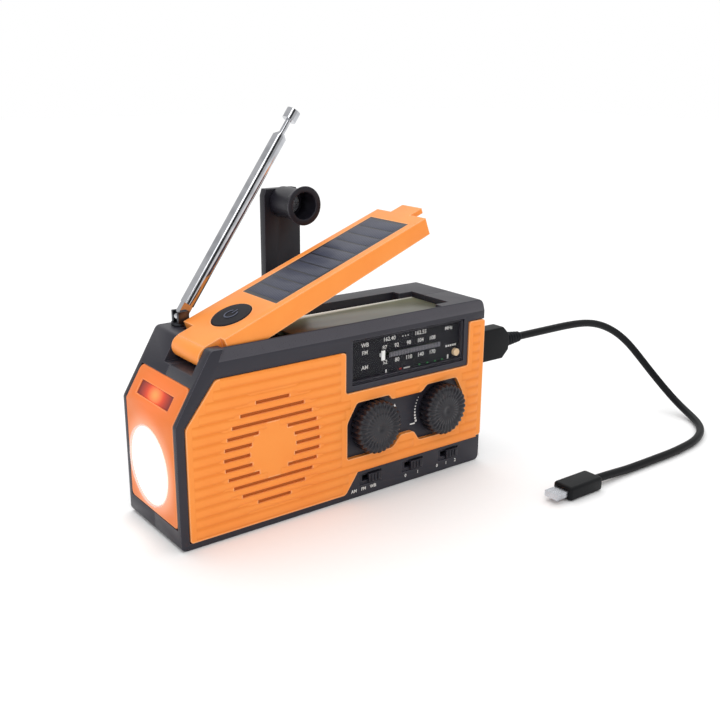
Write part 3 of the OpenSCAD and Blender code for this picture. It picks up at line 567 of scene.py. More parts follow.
def soften(node: str, finish: Material, body: Body, width: float = 0.5,
           segments: int = 2, limit: float = 40.0, corners: tuple[Vector, ...] = (), corner_r: float = 2.0,
           spare: tuple[Vector, float] | None = None) -> Piece:
    """Stand a copy of a CAD node with rounded edges in the node's place.

    Args:
        node: The CAD node.
        finish: Material of the piece.
        body: The body it moves with.
        width: Width of the rounding, in millimetres.
        segments: Steps across the rounding.
        limit: Angle of the edges that are rounded, in degrees.
        corners: Directions of corner edges that get a larger radius first.
        corner_r: That radius, in millimetres.
        spare: A round area whose corners stay sharp; where it is given, inner corners are rounded too.

    Returns:
        The piece.
    """
    form = merged(node)
    if corners:
        round_corners(form, corners, corner_r, spare)
    edges = [e for e in form.edges if e.is_manifold and e.calc_face_angle_signed() > math.radians(limit)]
    bmesh.ops.bevel(form, geom=edges, offset=width * MM, offset_type="OFFSET", affect="EDGES", segments=segments,
                    profile=0.5, material=-1, clamp_overlap=True, loop_slide=True)
    piece = add_piece(f"{node}_moulded", form, finish, body)
    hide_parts(node)
    return piece


def recolour_facing_faces(piece: Piece, finish: Material, toward: Vector, limit: float) -> None:
    """Give the faces that look one way a second finish.

    Args:
        piece: The piece.
        finish: Finish of those faces.
        toward: Direction they look in.
        limit: Largest angle from it, in degrees.
    """
    piece.data.materials.append(finish)
    for face in piece.data.polygons:
        if face.normal.angle(toward) < math.radians(limit):
            face.material_index = 1


def join(form: Form, other: Form) -> None:
    """Add one form's shape to another and free it.

    Args:
        form: The form that grows.
        other: The form that is added; it is gone afterwards.
    """
    mesh = bpy.data.meshes.new("part")
    other.to_mesh(mesh)
    other.free()
    form.from_mesh(mesh)
    bpy.data.meshes.remove(mesh)


def bar(low: Vector, high: Vector, round_off: float = 0.0) -> Form:
    """Make a block between two corners.

    Args:
        low: Lowest corner, in millimetres.
        high: Highest corner, in millimetres.
        round_off: Rounding of its edges, in millimetres.

    Returns:
        The block, in metres.
    """
    form = bmesh.new()
    bmesh.ops.create_cube(form, size=1.0)
    size, middle = (high - low) * MM, (high + low) * MM / 2
    bmesh.ops.scale(form, vec=size, verts=form.verts)
    bmesh.ops.translate(form, vec=middle, verts=form.verts)
    if round_off:
        bmesh.ops.bevel(form, geom=form.edges[:], offset=round_off * MM, offset_type="OFFSET", affect="EDGES",
                        segments=2, profile=0.5, material=-1, clamp_overlap=True)
    return form


def turned(profile: list[tuple[float, float]], steps: int = 64) -> Form:
    """Turn a profile round the Z axis.

    Args:
        profile: Radius and height of each point, in millimetres, bottom to top.
        steps: Facets round the axis.

    Returns:
        The closed form, in metres, about the origin.
    """
    form = bmesh.new()
    points = [form.verts.new((r * MM, 0.0, h * MM)) for r, h in profile]
    lines = [form.edges.new(pair) for pair in zip(points, points[1:])]
    bmesh.ops.spin(form, geom=[*points, *lines], cent=(0, 0, 0), axis=(0, 0, 1), angle=math.tau, steps=steps,
                   use_merge=True)
    bmesh.ops.remove_doubles(form, verts=form.verts, dist=1e-6)
    bmesh.ops.recalc_face_normals(form, faces=form.faces)
    return form


def lettering(words: str, size: float) -> Form:
    """Cut a word's letters out of thin ink.

    Args:
        words: What is printed.
        size: Height of the type, in millimetres.

    Returns:
        The letters, flat in X and Y about the origin, in metres.
    """
    curve = bpy.data.curves.new("type", "FONT")
    curve.body = words
    curve.size = size * MM
    curve.align_x = "CENTER"
    curve.align_y = "CENTER"
    curve.extrude = 0.02 * MM
    curve.offset = 0.012 * size * MM
    curve.resolution_u = 3
    holder = bpy.data.objects.new("type", curve)
    mesh = bpy.data.meshes.new_from_object(holder)
    form = bmesh.new()
    form.from_mesh(mesh)
    bmesh.ops.remove_doubles(form, verts=form.verts, dist=1e-7)
    bpy.data.objects.remove(holder)
    bpy.data.meshes.remove(mesh)
    bpy.data.curves.remove(curve)
    return form


def facing_front(x: float, y: float, z: float) -> Matrix:
    """Place something drawn flat in X and Y on a wall that faces the front, in millimetres.

    Args:
        x: Place along the casing.
        y: Depth of the wall.
        z: Height.

    Returns:
        The place, in metres.
    """
    return Matrix.Translation(Vector((x, y, z)) * MM) @ Matrix.Rotation(math.pi / 2, 4, "X")


def middle_of(node: str) -> Vector:
    """Middle of a CAD node's box, in millimetres."""
    low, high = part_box(node)
    return (low + high) / 2 / MM


def corner_of(node: str) -> tuple[Vector, Vector]:
    """Lowest and highest corner of a CAD node, in millimetres."""
    low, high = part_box(node)
    return low / MM, high / MM


# ---- camera and studio ----


@dataclass
class Viewpoint:
    """The camera, set at the height and angle that the radio is seen from."""

    place: tuple[float, float, float] = (-0.2197, -0.3213, 0.1782)
    azimuth: float = -37.13
    elevation: float = 16.93
    roll: float = 0.44
    lens: float = 47.25
    shift: tuple[float, float] = (0.0019, -0.0067)

    def build(self) -> None:
        """Make the camera and look through it."""
        data = bpy.data.cameras.new("camera")
        data.lens, data.sensor_width = self.lens, 36.0
        data.shift_x, data.shift_y = self.shift
        data.clip_start = 0.01
        azimuth, elevation = math.radians(self.azimuth), math.radians(self.elevation)
        back = Vector((math.sin(azimuth) * math.cos(elevation), -math.cos(azimuth) * math.cos(elevation),
                       math.sin(elevation)))
        right = (-back).cross(Vector((0, 0, 1))).normalized()
        turn = Matrix.Rotation(math.radians(self.roll), 3, back)
        right = turn @ right
        up = back.cross(right)
        camera = bpy.data.objects.new("camera", data)
        camera.matrix_world = Matrix.Translation(self.place) @ Matrix((right, up, back)).transposed().to_4x4()
        bpy.context.scene.collection.objects.link(camera)
        bpy.context.scene.camera = camera


@dataclass
class Studio:
    """A pale floor and soft lights."""

    floor_half: float = 3.0
    sky: float = 0.72
    flag_place: tuple[float, float, float] = (-0.25, -1.0, 0.45)
    flag_size: tuple[float, float] = (0.55, 1.3)

    def light(self, name: str, place: tuple[float, float, float], size: float, power: float) -> None:
        """Hang a square soft light that faces the radio.

        Args:
            name: Name of the light.
            place: Where it hangs, in metres.
            size: Its side, in metres.
            power: Its power, in watts.
        """
        data = bpy.data.lights.new(name, "AREA")
        data.size, data.energy = size, power
        lamp = bpy.data.objects.new(name, data)
        lamp.location = place
        lamp.rotation_euler = (Vector(place) - Vector((0, 0, 0.04))).to_track_quat("Z", "Y").to_euler()
        bpy.context.scene.collection.objects.link(lamp)

    def flag(self) -> None:
        """Stand a dark card by the camera that only polished surfaces mirror."""
        cloth, tree, shader = new_material("black_flag_cloth")
        weave = noise(tree, 2.0, 2.0)
        tree.links.new(blend_colours(tree, weave.outputs["Fac"], "#161618", "#0E0E10"), shader.inputs["Base Color"])
        form = bmesh.new()
        bmesh.ops.create_grid(form, x_segments=1, y_segments=1, size=0.5)
        place = Vector(self.flag_place)
        form.transform(Matrix.Translation(place) @ place.to_track_quat("Z", "Y").to_matrix().to_4x4()
                       @ Matrix.Diagonal((*self.flag_size, 1.0, 1.0)))
        mesh = bpy.data.meshes.new("flag")
        form.to_mesh(mesh)
        form.free()
        mesh.materials.append(cloth)
        card = bpy.data.objects.new("flag", mesh)
        card.visible_camera = card.visible_diffuse = card.visible_shadow = False
        bpy.context.scene.collection.objects.link(card)

    def build(self) -> None:
        """Lay the floor, hang the lights and light the sky."""
        paper, tree, shader = new_material("white_backdrop_paper")
        fibre = noise(tree, 3.0, 2.0)
        tree.links.new(blend_colours(tree, fibre.outputs["Fac"], "#FFFFFF", "#FDFDFD"), shader.inputs["Base Color"])
        shader.inputs["Roughness"].default_value = 0.9
        shader.inputs["Specular IOR Level"].default_value = 0.1
        form = bmesh.new()
        bmesh.ops.create_grid(form, x_segments=1, y_segments=1, size=self.floor_half)
        mesh = bpy.data.meshes.new("floor")
        form.to_mesh(mesh)
        form.free()
        mesh.materials.append(paper)
        floor = bpy.data.objects.new("floor", mesh)
        floor.location.z = -0.0002
        bpy.context.scene.collection.objects.link(floor)
        self.flag()
        world = bpy.data.worlds.new("studio")
        world.use_nodes = True
        backdrop = world.node_tree.nodes["Background"]
        backdrop.inputs["Color"].default_value = (1.0, 1.0, 1.0, 1.0)
        seen = add_node(world.node_tree, "ShaderNodeLightPath")
        power = add_node(world.node_tree, "ShaderNodeMapRange", {"To Min": self.sky, "To Max": 1.0},
                         {"Value": seen.outputs["Is Camera Ray"]})
        world.node_tree.links.new(power.outputs["Result"], backdrop.inputs["Strength"])
        bpy.context.scene.world = world
        self.light("key", (-0.5, -0.75, 0.95), 0.6, 3.0)
        self.light("side", (-1.1, -0.1, 0.45), 0.5, 0.6)
        overhead = bpy.data.lights.new("overhead", "SUN")
        overhead.energy, overhead.angle = 1.25, math.radians(70)
        lamp = bpy.data.objects.new("overhead", overhead)
        lamp.rotation_euler = Vector((0.25, 0.45, 1.0)).to_track_quat("Z", "Y").to_euler()
        bpy.context.scene.collection.objects.link(lamp)
        bpy.context.scene.view_settings.view_transform = "Standard"


# ---- the finishes ----


@dataclass
class Finishes:
    """Every finish on the radio, made once."""

    made: dict[str, Material] = field(default_factory=dict)

    def add(self, *kinds: object) -> None:
        """Make finishes and keep them by name."""
        for kind in kinds:
            self.made[kind.name] = kind.make()

    def __getitem__(self, name: str) -> Material:
        """Give a finish by its name."""
        return self.made[name]

    def build(self) -> None:
        """Make every finish."""
        # ABS moulded in colour: warm satin orange with a pale peach line on every edge, partly scuffing and partly a
        # painted highlight
        self.add(MouldedPlastic("orange_abs", "#FA9741", "#F78E39", "#FFC998", roughness=0.42, scuff_highlight_reach=0.9, scuff_highlight_share=0.7,
                                gloss=0.25),
                 # The same ABS where it is ribbed, with painted shade darkening each groove between the ribs
                 MouldedPlastic("orange_abs_ribbed", "#FA9741", "#F78E39", "#FFB56E", roughness=0.42, scuff_highlight_reach=0.3,
                                scuff_highlight_share=0.0, gloss=0.25, pitch=4.2),
                 # The same ABS on the end panel, a darker tone, with the torch's and the distress lamp's light painted
                 # on round them as a glow
                 MouldedPlastic("orange_abs_lamplit", "#E97C34", "#E5742E", "#FFB888", roughness=0.42, scuff_highlight_reach=0.9,
                                scuff_highlight_share=0.7, gloss=0.25,
                                glows=(Glow("#FFF4E8", tuple(middle_of("torch_lens")), (40, 25, 24), 2.6),
                                       Glow("#FF3800", tuple(middle_of("sos_lens")), (17, 25, 17), 0.3))),
                 # Glass-filled ABS: blue-grey charcoal, satin, paler on its edges, partly from scuffing and partly as a
                 # painted highlight
                 MouldedPlastic("charcoal_abs", "#2B2A33", "#26252D", "#66646D", roughness=0.42, scuff_highlight_reach=0.5, gloss=0.3),
                 # Top facet in a lighter charcoal, a painted highlight for the studio light it catches, and glossier
                 # than the rest
                 MouldedPlastic("charcoal_abs_painted_highlight", "#45434A", "#3F3D44", "#6D6B73", roughness=0.3, scuff_highlight_reach=0.5,
                                gloss=0.4),
                 # The knobs' and crank's ABS: nearly black
                 MouldedPlastic("black_abs", "#1F1E26", "#1A1920", "#5D5B66", roughness=0.38, pit=0.5, scuff_highlight_reach=0.35,
                                gloss=0.28),
                 # The knobs' ABS: glossier, with a pale grey painted highlight on the flutes' crests and edges
                 MouldedPlastic("knob_abs", "#1D1C23", "#18171D", "#7A7883", roughness=0.3, pit=0.5, scuff_highlight_reach=0.3,
                                gloss=0.4),
                 # Rubber-feel coating of the lamp button
                 MouldedPlastic("soft_touch_black", "#18171E", "#14131A", "#34333E", roughness=0.6, pit=0.3,
                                gloss=0.2),
                 # Flexible PVC of the lead and its mouldings
                 MouldedPlastic("lead_pvc", "#0B0D10", "#08090C", "#343A40", roughness=0.5, pit=0.8, depth=0.03,
                                gloss=0.16),
                 # Natural acetal of the gears and shafts
                 MouldedPlastic("white_acetal", "#D9D6C8", "#CFCBBB", "#E8E6DC", roughness=0.35),
                 # Pressed paper pulp of the cone: dull, with coarse fibre
                 MouldedPlastic("paper_cone", "#26262B", "#1F1F24", "#3A3A40", roughness=0.9, pit=1.2, depth=0.08),
                 # Glass laminate under green solder mask: even and slightly shiny
                 MouldedPlastic("board_laminate", "#1E3F2A", "#1A3624", "#3C5C47", roughness=0.4, pit=1.0),
                 # Shrunk sleeve of the cell: smooth blue film
                 MouldedPlastic("cell_sleeve", "#3F7FB5", "#3873A6", "#6FA3CC", roughness=0.3, pit=2.0),
                 # Screen-printed plate: flat near-black that lets the figures stand out
                 MouldedPlastic("dial_black", "#12121B", "#0E0E16", "#1C1C26", roughness=0.5, pit=0.3, gloss=0.2),
                 # Painted flag of the pointer: clean white, with a faint painted glow on it
                 MouldedPlastic("pointer_white", "#F6F6F2", "#EFEFEA", "#FFFFFF", roughness=0.35,
                                glows=(Glow("#FFFFFF", (37.0, -20.4, 61.0), (60, 8, 12), 0.35),)),
                 # Black frame round the cells: a dark, sharp border
                 MouldedPlastic("panel_frame_black", "#14141B", "#101016", "#2A2A34", roughness=0.35, gloss=0.3),
                 # Warm white epoxy of the tuning lamp, lit
                 MouldedPlastic("amber_epoxy_lit", "#FFDDB0", "#FFD6A2", "#FFF2E0", roughness=0.2,
                                glows=(Glow("#FFD6A0", tuple(middle_of("indicator_led")), (6, 6, 6), 0.8),)),
                 # White solder mask and lamp chips
                 MouldedPlastic("white_mask", "#ECECE8", "#E4E4DF", "#F6F6F4", roughness=0.4))
        # Bright nickel-chrome of the aerial, drawn along its length
        self.add(PlatedMetal("aerial_chrome", "#C4C5C9", 0.1, 0.4),
                 # Satin nickel of plugs, pins and cans: soft broad highlights
                 PlatedMetal("nickel_steel", "#C9CBD0", 0.25, 0.5),
                 # Zinc-plated screws: duller and greyer than the nickel
                 PlatedMetal("zinc_screw", "#84878C", 0.35, 0.4),
                 # Blackened steel of the swivel: dark with a metal glint
                 PlatedMetal("blackened_steel", "#2A2A30", 0.35, 0.5),
                 # Vacuum-metallised bowl: a bright mirror behind the lens
                 PlatedMetal("reflector_aluminium", "#E2E4E8", 0.08, 2.0))
        # Screen-printed inks: opaque, a little uneven
        self.add(Ink("white_ink", "#F1F0EC", "#C9C8C6"), Ink("grey_ink", "#83828A", "#6B6A72"),
                 Ink("red_ink", "#C8352B", "#A32B24"), Ink("green_ink", "#3FA35A", "#348549"),
                 Ink("faint_ink", "#474C60", "#3A3E50"))
        # Acrylic windows: glossy, lightly smeared, tinted where they hide the dial
        self.add(ClearSheet("smoked_acrylic", "#101018", 0.08), ClearSheet("clear_acrylic", "#F4F6FA", 0.35))
        # Silicon cells in fine lines, and orange nylon mesh behind the slots
        self.add(SolarCell("solar_silicon", "#2E3246", "#272A3C", 20.7),
                 WovenScreen("dust_screen_nylon", "#C96C20", "#A04F12"))


# ---- sub-assemblies ----


@dataclass
class ChargingLead:
    """The lead from the charging socket to the small connector on the floor."""

    diameter: float = 3.8
    start: tuple[float, float, float] = (115.6, -10.0, 51.6)
    route: tuple[tuple[float, float, float], ...] = (
        (127, -10, 51.6), (138, -10, 51.6), (149, -10, 51.6), (160, -10, 51.2), (170, -10, 50),
        (180, -11, 47), (189, -13, 42), (196, -16, 35.5), (201, -20, 28), (205, -25, 20.5),
        (208, -31, 13.5), (209, -38, 7.8), (208, -46, 4), (205, -54, 2.3), (200, -61, 1.9),
        (193, -67, 1.9), (185, -71, 1.9), (176, -74, 1.9), (167, -75, 1.9), (157, -76, 1.9),
        (147, -76, 1.9), (137, -76, 1.9), (127, -76, 1.9), (118, -76, 2.1), (109, -76, 2.8))
    end: tuple[float, float, float] = (98.0, -76.0, 3.2)
    collars: int = 5

    def cable(self, finish: Material) -> Piece:
        """Lay the cable along its route."""
        points = [Vector(p) * MM for p in (self.start, *self.route, self.end)]
        curve = bpy.data.curves.new("charging_lead_cable", "CURVE")
        curve.dimensions = "3D"
        curve.bevel_depth = self.diameter / 2 * MM
        curve.bevel_resolution = 6
        curve.use_fill_caps = True
        spline = curve.splines.new("NURBS")
        spline.points.add(len(points) - 1)
        for held, point in zip(spline.points, points):
            held.co = (*point, 1.0)
        spline.order_u = 4
        spline.use_endpoint_u = True
        spline.resolution_u = 8
        curve.materials.append(finish)
        cable = bpy.data.objects.new("charging_lead_cable", curve)
        bpy.context.scene.collection.objects.link(cable)
        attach(cable, Body.CASING.value)
        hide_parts("charging_lead")
        return cable

    def length(self) -> float:
        """Length along the route, in metres."""
        points = [Vector(p) * MM for p in (self.start, *self.route, self.end)]
        return sum((b - a).length for a, b in zip(points, points[1:]))

    def neck_collars(self, finish: Material) -> Piece:
        """Mould the rings of the strain relief on the plug's neck."""
        form = bmesh.new()
        for i in range(self.collars):
            radius = 3.5 - 0.22 * i
            ring = turned([(radius - 0.7, -0.5), (radius, -0.35), (radius, 0.35), (radius - 0.7, 0.5)], 32)
            bmesh.ops.holes_fill(ring, edges=ring.edges, sides=0)
            bmesh.ops.rotate(ring, cent=(0, 0, 0), matrix=Matrix.Rotation(math.pi / 2, 3, "Y"), verts=ring.verts)
            bmesh.ops.translate(ring, vec=Vector((106.4 + 1.9 * i, self.start[1], self.start[2])) * MM,
                                verts=ring.verts)
            join(form, ring)
        return add_piece("lead_strain_relief", form, finish, Body.CASING)

    def build(self, finishes: Finishes) -> None:
        cable = self.cable(finishes["lead_pvc"])
        plug = soften("usb_plug", finishes["lead_pvc"], Body.CASING, 0.9, 3)
        connector = soften("lead_connector", finishes["lead_pvc"], Body.CASING, 1.4, 3)
        relief = self.neck_collars(finishes["lead_pvc"])
        dress(finishes["nickel_steel"], "usb_plug_shell", "lead_tip")


@dataclass
class Casing:
    """The two charcoal shells, their screws and the sockets in the right end."""

    edge: float = 0.45
    screw_r: float = 2.7

    def screw_head(self, x: float, y: float, z: float) -> Form:
        """Sink a cross recess into a pan head that faces the back."""
        form = bmesh.new()
        bmesh.ops.create_grid(form, x_segments=5, y_segments=5, size=self.screw_r * MM)
        for vert in form.verts:
            if max(abs(vert.co.x), abs(vert.co.y)) > self.screw_r * MM * 0.99:
                vert.co = vert.co.normalized() * self.screw_r * MM
            elif max(abs(vert.co.x), abs(vert.co.y)) < self.screw_r * MM * 0.3:
                vert.co = vert.co * 0.75
        cross = [f for f in form.faces if min(abs(f.calc_center_median().x), abs(f.calc_center_median().y))
                 < 0.1 * self.screw_r * MM and f.calc_center_median().length < 0.6 * self.screw_r * MM]
        sunk = bmesh.ops.extrude_face_region(form, geom=cross)
        bmesh.ops.delete(form, geom=cross, context="FACES")
        bmesh.ops.translate(form, vec=(0, 0, -0.9 * MM),
                            verts=[g for g in sunk["geom"] if isinstance(g, bmesh.types.BMVert)])
        rim = [e for e in form.edges if e.is_boundary]
        skirt = bmesh.ops.extrude_edge_only(form, edges=rim)
        bmesh.ops.translate(form, vec=(0, 0, -1.2 * MM),
                            verts=[g for g in skirt["geom"] if isinstance(g, bmesh.types.BMVert)])
        bmesh.ops.holes_fill(form, edges=[e for e in form.edges if e.is_boundary], sides=0)
        form.transform(Matrix.Translation(Vector((x, y, z)) * MM) @ Matrix.Rotation(-math.pi / 2, 4, "X"))
        return form

    def build(self, finishes: Finishes) -> None:
        """Soften the shells and fit the screws."""
        charcoal = finishes["charcoal_abs"]
        shell = soften("front_shell", charcoal, Body.CASING, self.edge)
        # The top facet takes a lighter charcoal: a painted highlight
        recolour_facing_faces(shell, finishes["charcoal_abs_painted_highlight"], Vector((0, -5.0, 1.6)), 5.0)
        soften("rear_shell", charcoal, Body.CASING, self.edge)
        low, high = corner_of("case_screws")
        heads = bmesh.new()
        screws = merged("case_screws")
        tops = [v.co for v in screws.verts if v.co.y > (high.y - 0.01) * MM]
        screws_xz = sorted({(round(p.x / MM / 6), round(p.z / MM / 6)) for p in tops})
        for cell in screws_xz:
            near = [p for p in tops if (round(p.x / MM / 6), round(p.z / MM / 6)) == cell]
            if len(near) < 24:
                continue
            x = sum(p.x for p in near) / len(near) / MM
            z = sum(p.z for p in near) / len(near) / MM
            join(heads, self.screw_head(x, high.y + 0.3, z))
        screws.free()
        add_piece("case_screw_heads", heads, finishes["zinc_screw"], Body.CASING)
        dress(finishes["zinc_screw"], "case_screws", "aerial_bush")
        dress(finishes["nickel_steel"], "usb_port", "charge_port", "flap_hinge_pin")
        dress(finishes["black_abs"], "headphone_jack")


@dataclass
class FrontPanel:
    """The orange front and end panels with their ribs and the grille's screen."""

    edge: float = 0.8
    land_w: float = 2.6
    rib_h: float = 0.5
    grille_r: float = 24.0
    pitch: float = 4.2
    margin: float = 2.2
    step: float = 0.5
    speaker: tuple[float, float] = (-36.0, 33.0)
    disc_r: float = 10.9
    screen_depth: float = 0.9
    lean: float = math.radians(90 - 59.35)

    def runs(self, tree: BVHTree, z: float, front: float, low: float, high: float) -> list[tuple[float, float]]:
        """Find where a level rib has plain panel under it.

        Args:
            tree: The panel, for ray tests.
            z: Height of the rib, in millimetres.
            front: The panel's front face, in millimetres.
            low: Where the search starts in X.
            high: Where it ends.

        Returns:
            Start and end of each stretch, in millimetres.
        """
        def sound(x: float) -> bool:
            """Tell whether the panel runs all round this point."""
            if math.dist((x, z), self.speaker) < self.disc_r:
                return False
            for dx, dz in ((0, 0), (-self.margin, 0), (self.margin, 0), (0, -1.3), (0, 1.3),
                           (-self.margin, 1.3), (self.margin, 1.3), (-self.margin, -1.3), (self.margin, -1.3)):
                hit = tree.ray_cast(Vector((x + dx, front - 5, z + dz)) * MM, Vector((0, 1, 0)))[0]
                if hit is None or abs(hit.y / MM - front) > 0.2:
                    return False
            return True

        found, start, x = [], None, low
        while x <= high:
            good = sound(x)
            if good and start is None:
                start = x
            if not good and start is not None:
                found.append((start, x - self.step))
                start = None
            x += self.step
        if start is not None:
            found.append((start, x - self.step))
        return [run for run in found if run[1] - run[0] > 3.0]

    def rib(self, start: float, end: float, front: float, z: float) -> Form:
        """Shape one low rib as a long pillow.

        Args:
            start: Where it starts in X, in millimetres.
            end: Where it ends.
            front: The panel's front face.
            z: Height of its middle.

        Returns:
            The rib, in metres.
        """
        form = bmesh.new()
        count = max(4, round((end - start) / 1.5))
        bmesh.ops.create_grid(form, x_segments=count, y_segments=8, size=0.5)
        for vert in form.verts:
            x = start + (vert.co.x + 0.5) * (end - start)
            near = math.hypot(x - self.speaker[0],
                              max(0.0, abs(z - self.speaker[1]) - self.pitch / 2)) < self.grille_r
            width = self.land_w if near else self.pitch
            tail = min(1.0, min(x - start, end - x) / 1.5)
            height = self.rib_h * math.cos(math.pi * vert.co.y) * math.sin(math.pi / 2 * tail)
            vert.co = Vector((x, vert.co.y * width, height)) * MM
        form.transform(facing_front(0.0, front - 0.03, z))
        return form

    def ribs(self, finish: Material) -> Piece:
        """Lay the ribs over the whole panel, between the slots of the grille."""
        panel = merged("front_panel")
        tree = BVHTree.FromBMesh(panel)
        panel.free()
        low, high = corner_of("front_panel")
        form = bmesh.new()
        first = math.ceil((low.z - self.speaker[1]) / self.pitch)
        last = math.floor((high.z - self.speaker[1]) / self.pitch)
        count = 0
        for k in range(first, last + 1):
            z = self.speaker[1] + (k + 0.5) * self.pitch
            for start, end in self.runs(tree, z, low.y, low.x, high.x):
                join(form, self.rib(start, end, low.y, z))
                count += 1
        log.info("front panel: %d ribs", count)
        return add_piece("panel_ribs", form, finish, Body.CASING, crease=80.0)

    def screen(self, finish: Material) -> Piece:
        """Stretch the dust screen behind the grille."""
        form = turned([(0.0, -0.1), (22.6, -0.1), (22.6, 0.1), (0.0, 0.1)], 64)
        front = corner_of("front_panel")[0].y
        form.transform(facing_front(self.speaker[0], front + self.screen_depth, self.speaker[1]))
        return add_piece("grille_dust_screen", form, finish, Body.CASING)

    def build(self, finishes: Finishes) -> None:
        """Mould the panels and fit the screen."""
        orange = finishes["orange_abs"]
        soften("front_panel", orange, Body.CASING, self.edge, 3, corners=(Vector((0, 1, 0)),),
               corner_r=1.9, spare=(Vector((self.speaker[0], 0.0, self.speaker[1])), 25.0))
        slope = Vector((math.cos(self.lean), 0.0, -math.sin(self.lean)))
        soften("end_panel", finishes["orange_abs_lamplit"], Body.CASING, self.edge, 3, limit=45.0,
               corners=(Vector((1, 0, 0)), slope), corner_r=2.4)
        self.ribs(finishes["orange_abs_ribbed"])
        self.screen(finishes["dust_screen_nylon"])
        dress(finishes["paper_cone"], "speaker_cone")
        dress(finishes["nickel_steel"], "speaker_frame", "speaker_magnet")


@dataclass
class Dial:
    """The tuning dial: printed plate, pointer, lamp and smoked window."""

    plate_y: float = -19.82
    window_y: float = -21.38
    type_size: float = 2.5
    small_size: float = 2.3
    weather: tuple[tuple[str, float], ...] = (("162.40", 25.0), ("162.55", 42.5))
    broadcast: tuple[tuple[str, float], ...] = (("87", 22.5), ("92", 29.1), ("98", 35.9), ("104", 42.5),
                                                ("108", 49.4))
    medium: tuple[tuple[str, float], ...] = (("52", 22.8), ("80", 29.5), ("110", 36.1), ("140", 42.8),
                                             ("170", 49.6))
    bands: tuple[tuple[str, float], ...] = (("WB", 66.8), ("FM", 63.4), ("AM", 56.9))
    band_x: float = 11.9
    unit_place: tuple[float, float] = (59.0, 66.9)
    strength_xs: tuple[float, ...] = (42.3, 46.9, 51.4, 55.6)
    hatch_lines: int = 34
    hatch_pitch: float = 0.86
    weather_z: float = 67.5
    broadcast_z: float = 64.0
    medium_z: float = 57.4
    low_z: float = 52.8
    slot_z: float = 60.9
    flag_half: float = 2.2

    def strip(self, x: float, z: float, w: float, h: float, y: float | None = None) -> Form:
        """Print a small bar centred at a place on the plate, or at another depth.

        Args:
            x: Middle along the casing.
            z: Middle height.
            w: Width.
            h: Height.
            y: Depth, where it is not the plate's.

        Returns:
            The bar, in metres.
        """
        depth = self.plate_y if y is None else y
        return bar(Vector((x - w / 2, depth - 0.03, z - h / 2)), Vector((x + w / 2, depth + 0.02, z + h / 2)))

    def white_print(self) -> Form:
        """Set the numbers, band marks and bars in white.

        Returns:
            All the white print.
        """
        form = bmesh.new()
        rows = [(self.weather, self.weather_z), (self.broadcast, self.broadcast_z), (self.medium, self.medium_z)]
        for row, z in rows:
            for words, x in row:
                letters = lettering(words, self.type_size)
                letters.transform(facing_front(x, self.plate_y, z))
                join(form, letters)
        for words, z in self.bands:
            letters = lettering(words, self.type_size)
            letters.transform(facing_front(self.band_x, self.plate_y, z))
            join(form, letters)
        unit = lettering("MHz", self.small_size)
        unit.transform(facing_front(self.unit_place[0], self.plate_y, self.unit_place[1]))
        join(form, unit)
        for i in range(3):
            join(form, self.strip(32.4 + 1.5 * i, self.weather_z, 0.5, 0.5))
        join(form, self.strip(23.4, self.low_z, 0.7, 2.4))
        join(form, self.strip(35.0, self.low_z, 3.6, 0.7))
        join(form, self.strip(59.0, self.low_z + 0.5, 0.8, 2.6))
        for i in range(5):
            join(form, self.strip(57.9 + 1.35 * i, 58.6, 0.8, 0.9))
        return form

    def pointer(self, finishes: Finishes) -> None:
        """Paint the middle of the pointer's flag white and leave the rest black.

        Args:
            finishes: Every finish, by name.
        """
        form = merged("dial_pointer")
        for side in (-1, 1):
            height = Vector((0.0, 0.0, self.slot_z + side * self.flag_half)) * MM
            bmesh.ops.bisect_plane(form, geom=[*form.verts, *form.edges, *form.faces], dist=1e-7, plane_co=height,
                                   plane_no=(0, 0, 1))
        piece = add_piece("dial_pointer_painted", form, finishes["pointer_white"], Body.POINTER)
        piece.data.materials.append(finishes["dial_black"])
        for face in piece.data.polygons:
            if abs(face.center.z / MM - self.slot_z) > self.flag_half:
                face.material_index = 1
        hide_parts("dial_pointer")

    def build(self, finishes: Finishes) -> None:
        """Print the plate and close it with its window.

        Args:
            finishes: Every finish, by name.
        """
        soften("dial_window", finishes["smoked_acrylic"], Body.CASING, 0.2)
        dress(finishes["dial_black"], "dial_plate")
        self.pointer(finishes)
        add_piece("dial_numbers", self.white_print(), finishes["white_ink"], Body.CASING)
        hatch = bmesh.new()
        for i in range(self.hatch_lines):
            join(hatch, self.strip(24.2 + self.hatch_pitch * i, self.slot_z, 0.5, 2.2, self.window_y + 0.05))
        add_piece("dial_track_hatch", hatch, finishes["grey_ink"], Body.CASING)
        marks = bmesh.new()
        for x in self.strength_xs:
            join(marks, self.strip(x, self.low_z, 0.9, 0.9))
        add_piece("dial_strength_dots", marks, finishes["green_ink"], Body.CASING)
        red = bmesh.new()
        join(red, self.strip(31.4, self.low_z, 1.3, 1.0))
        add_piece("dial_red_mark", red, finishes["red_ink"], Body.CASING)


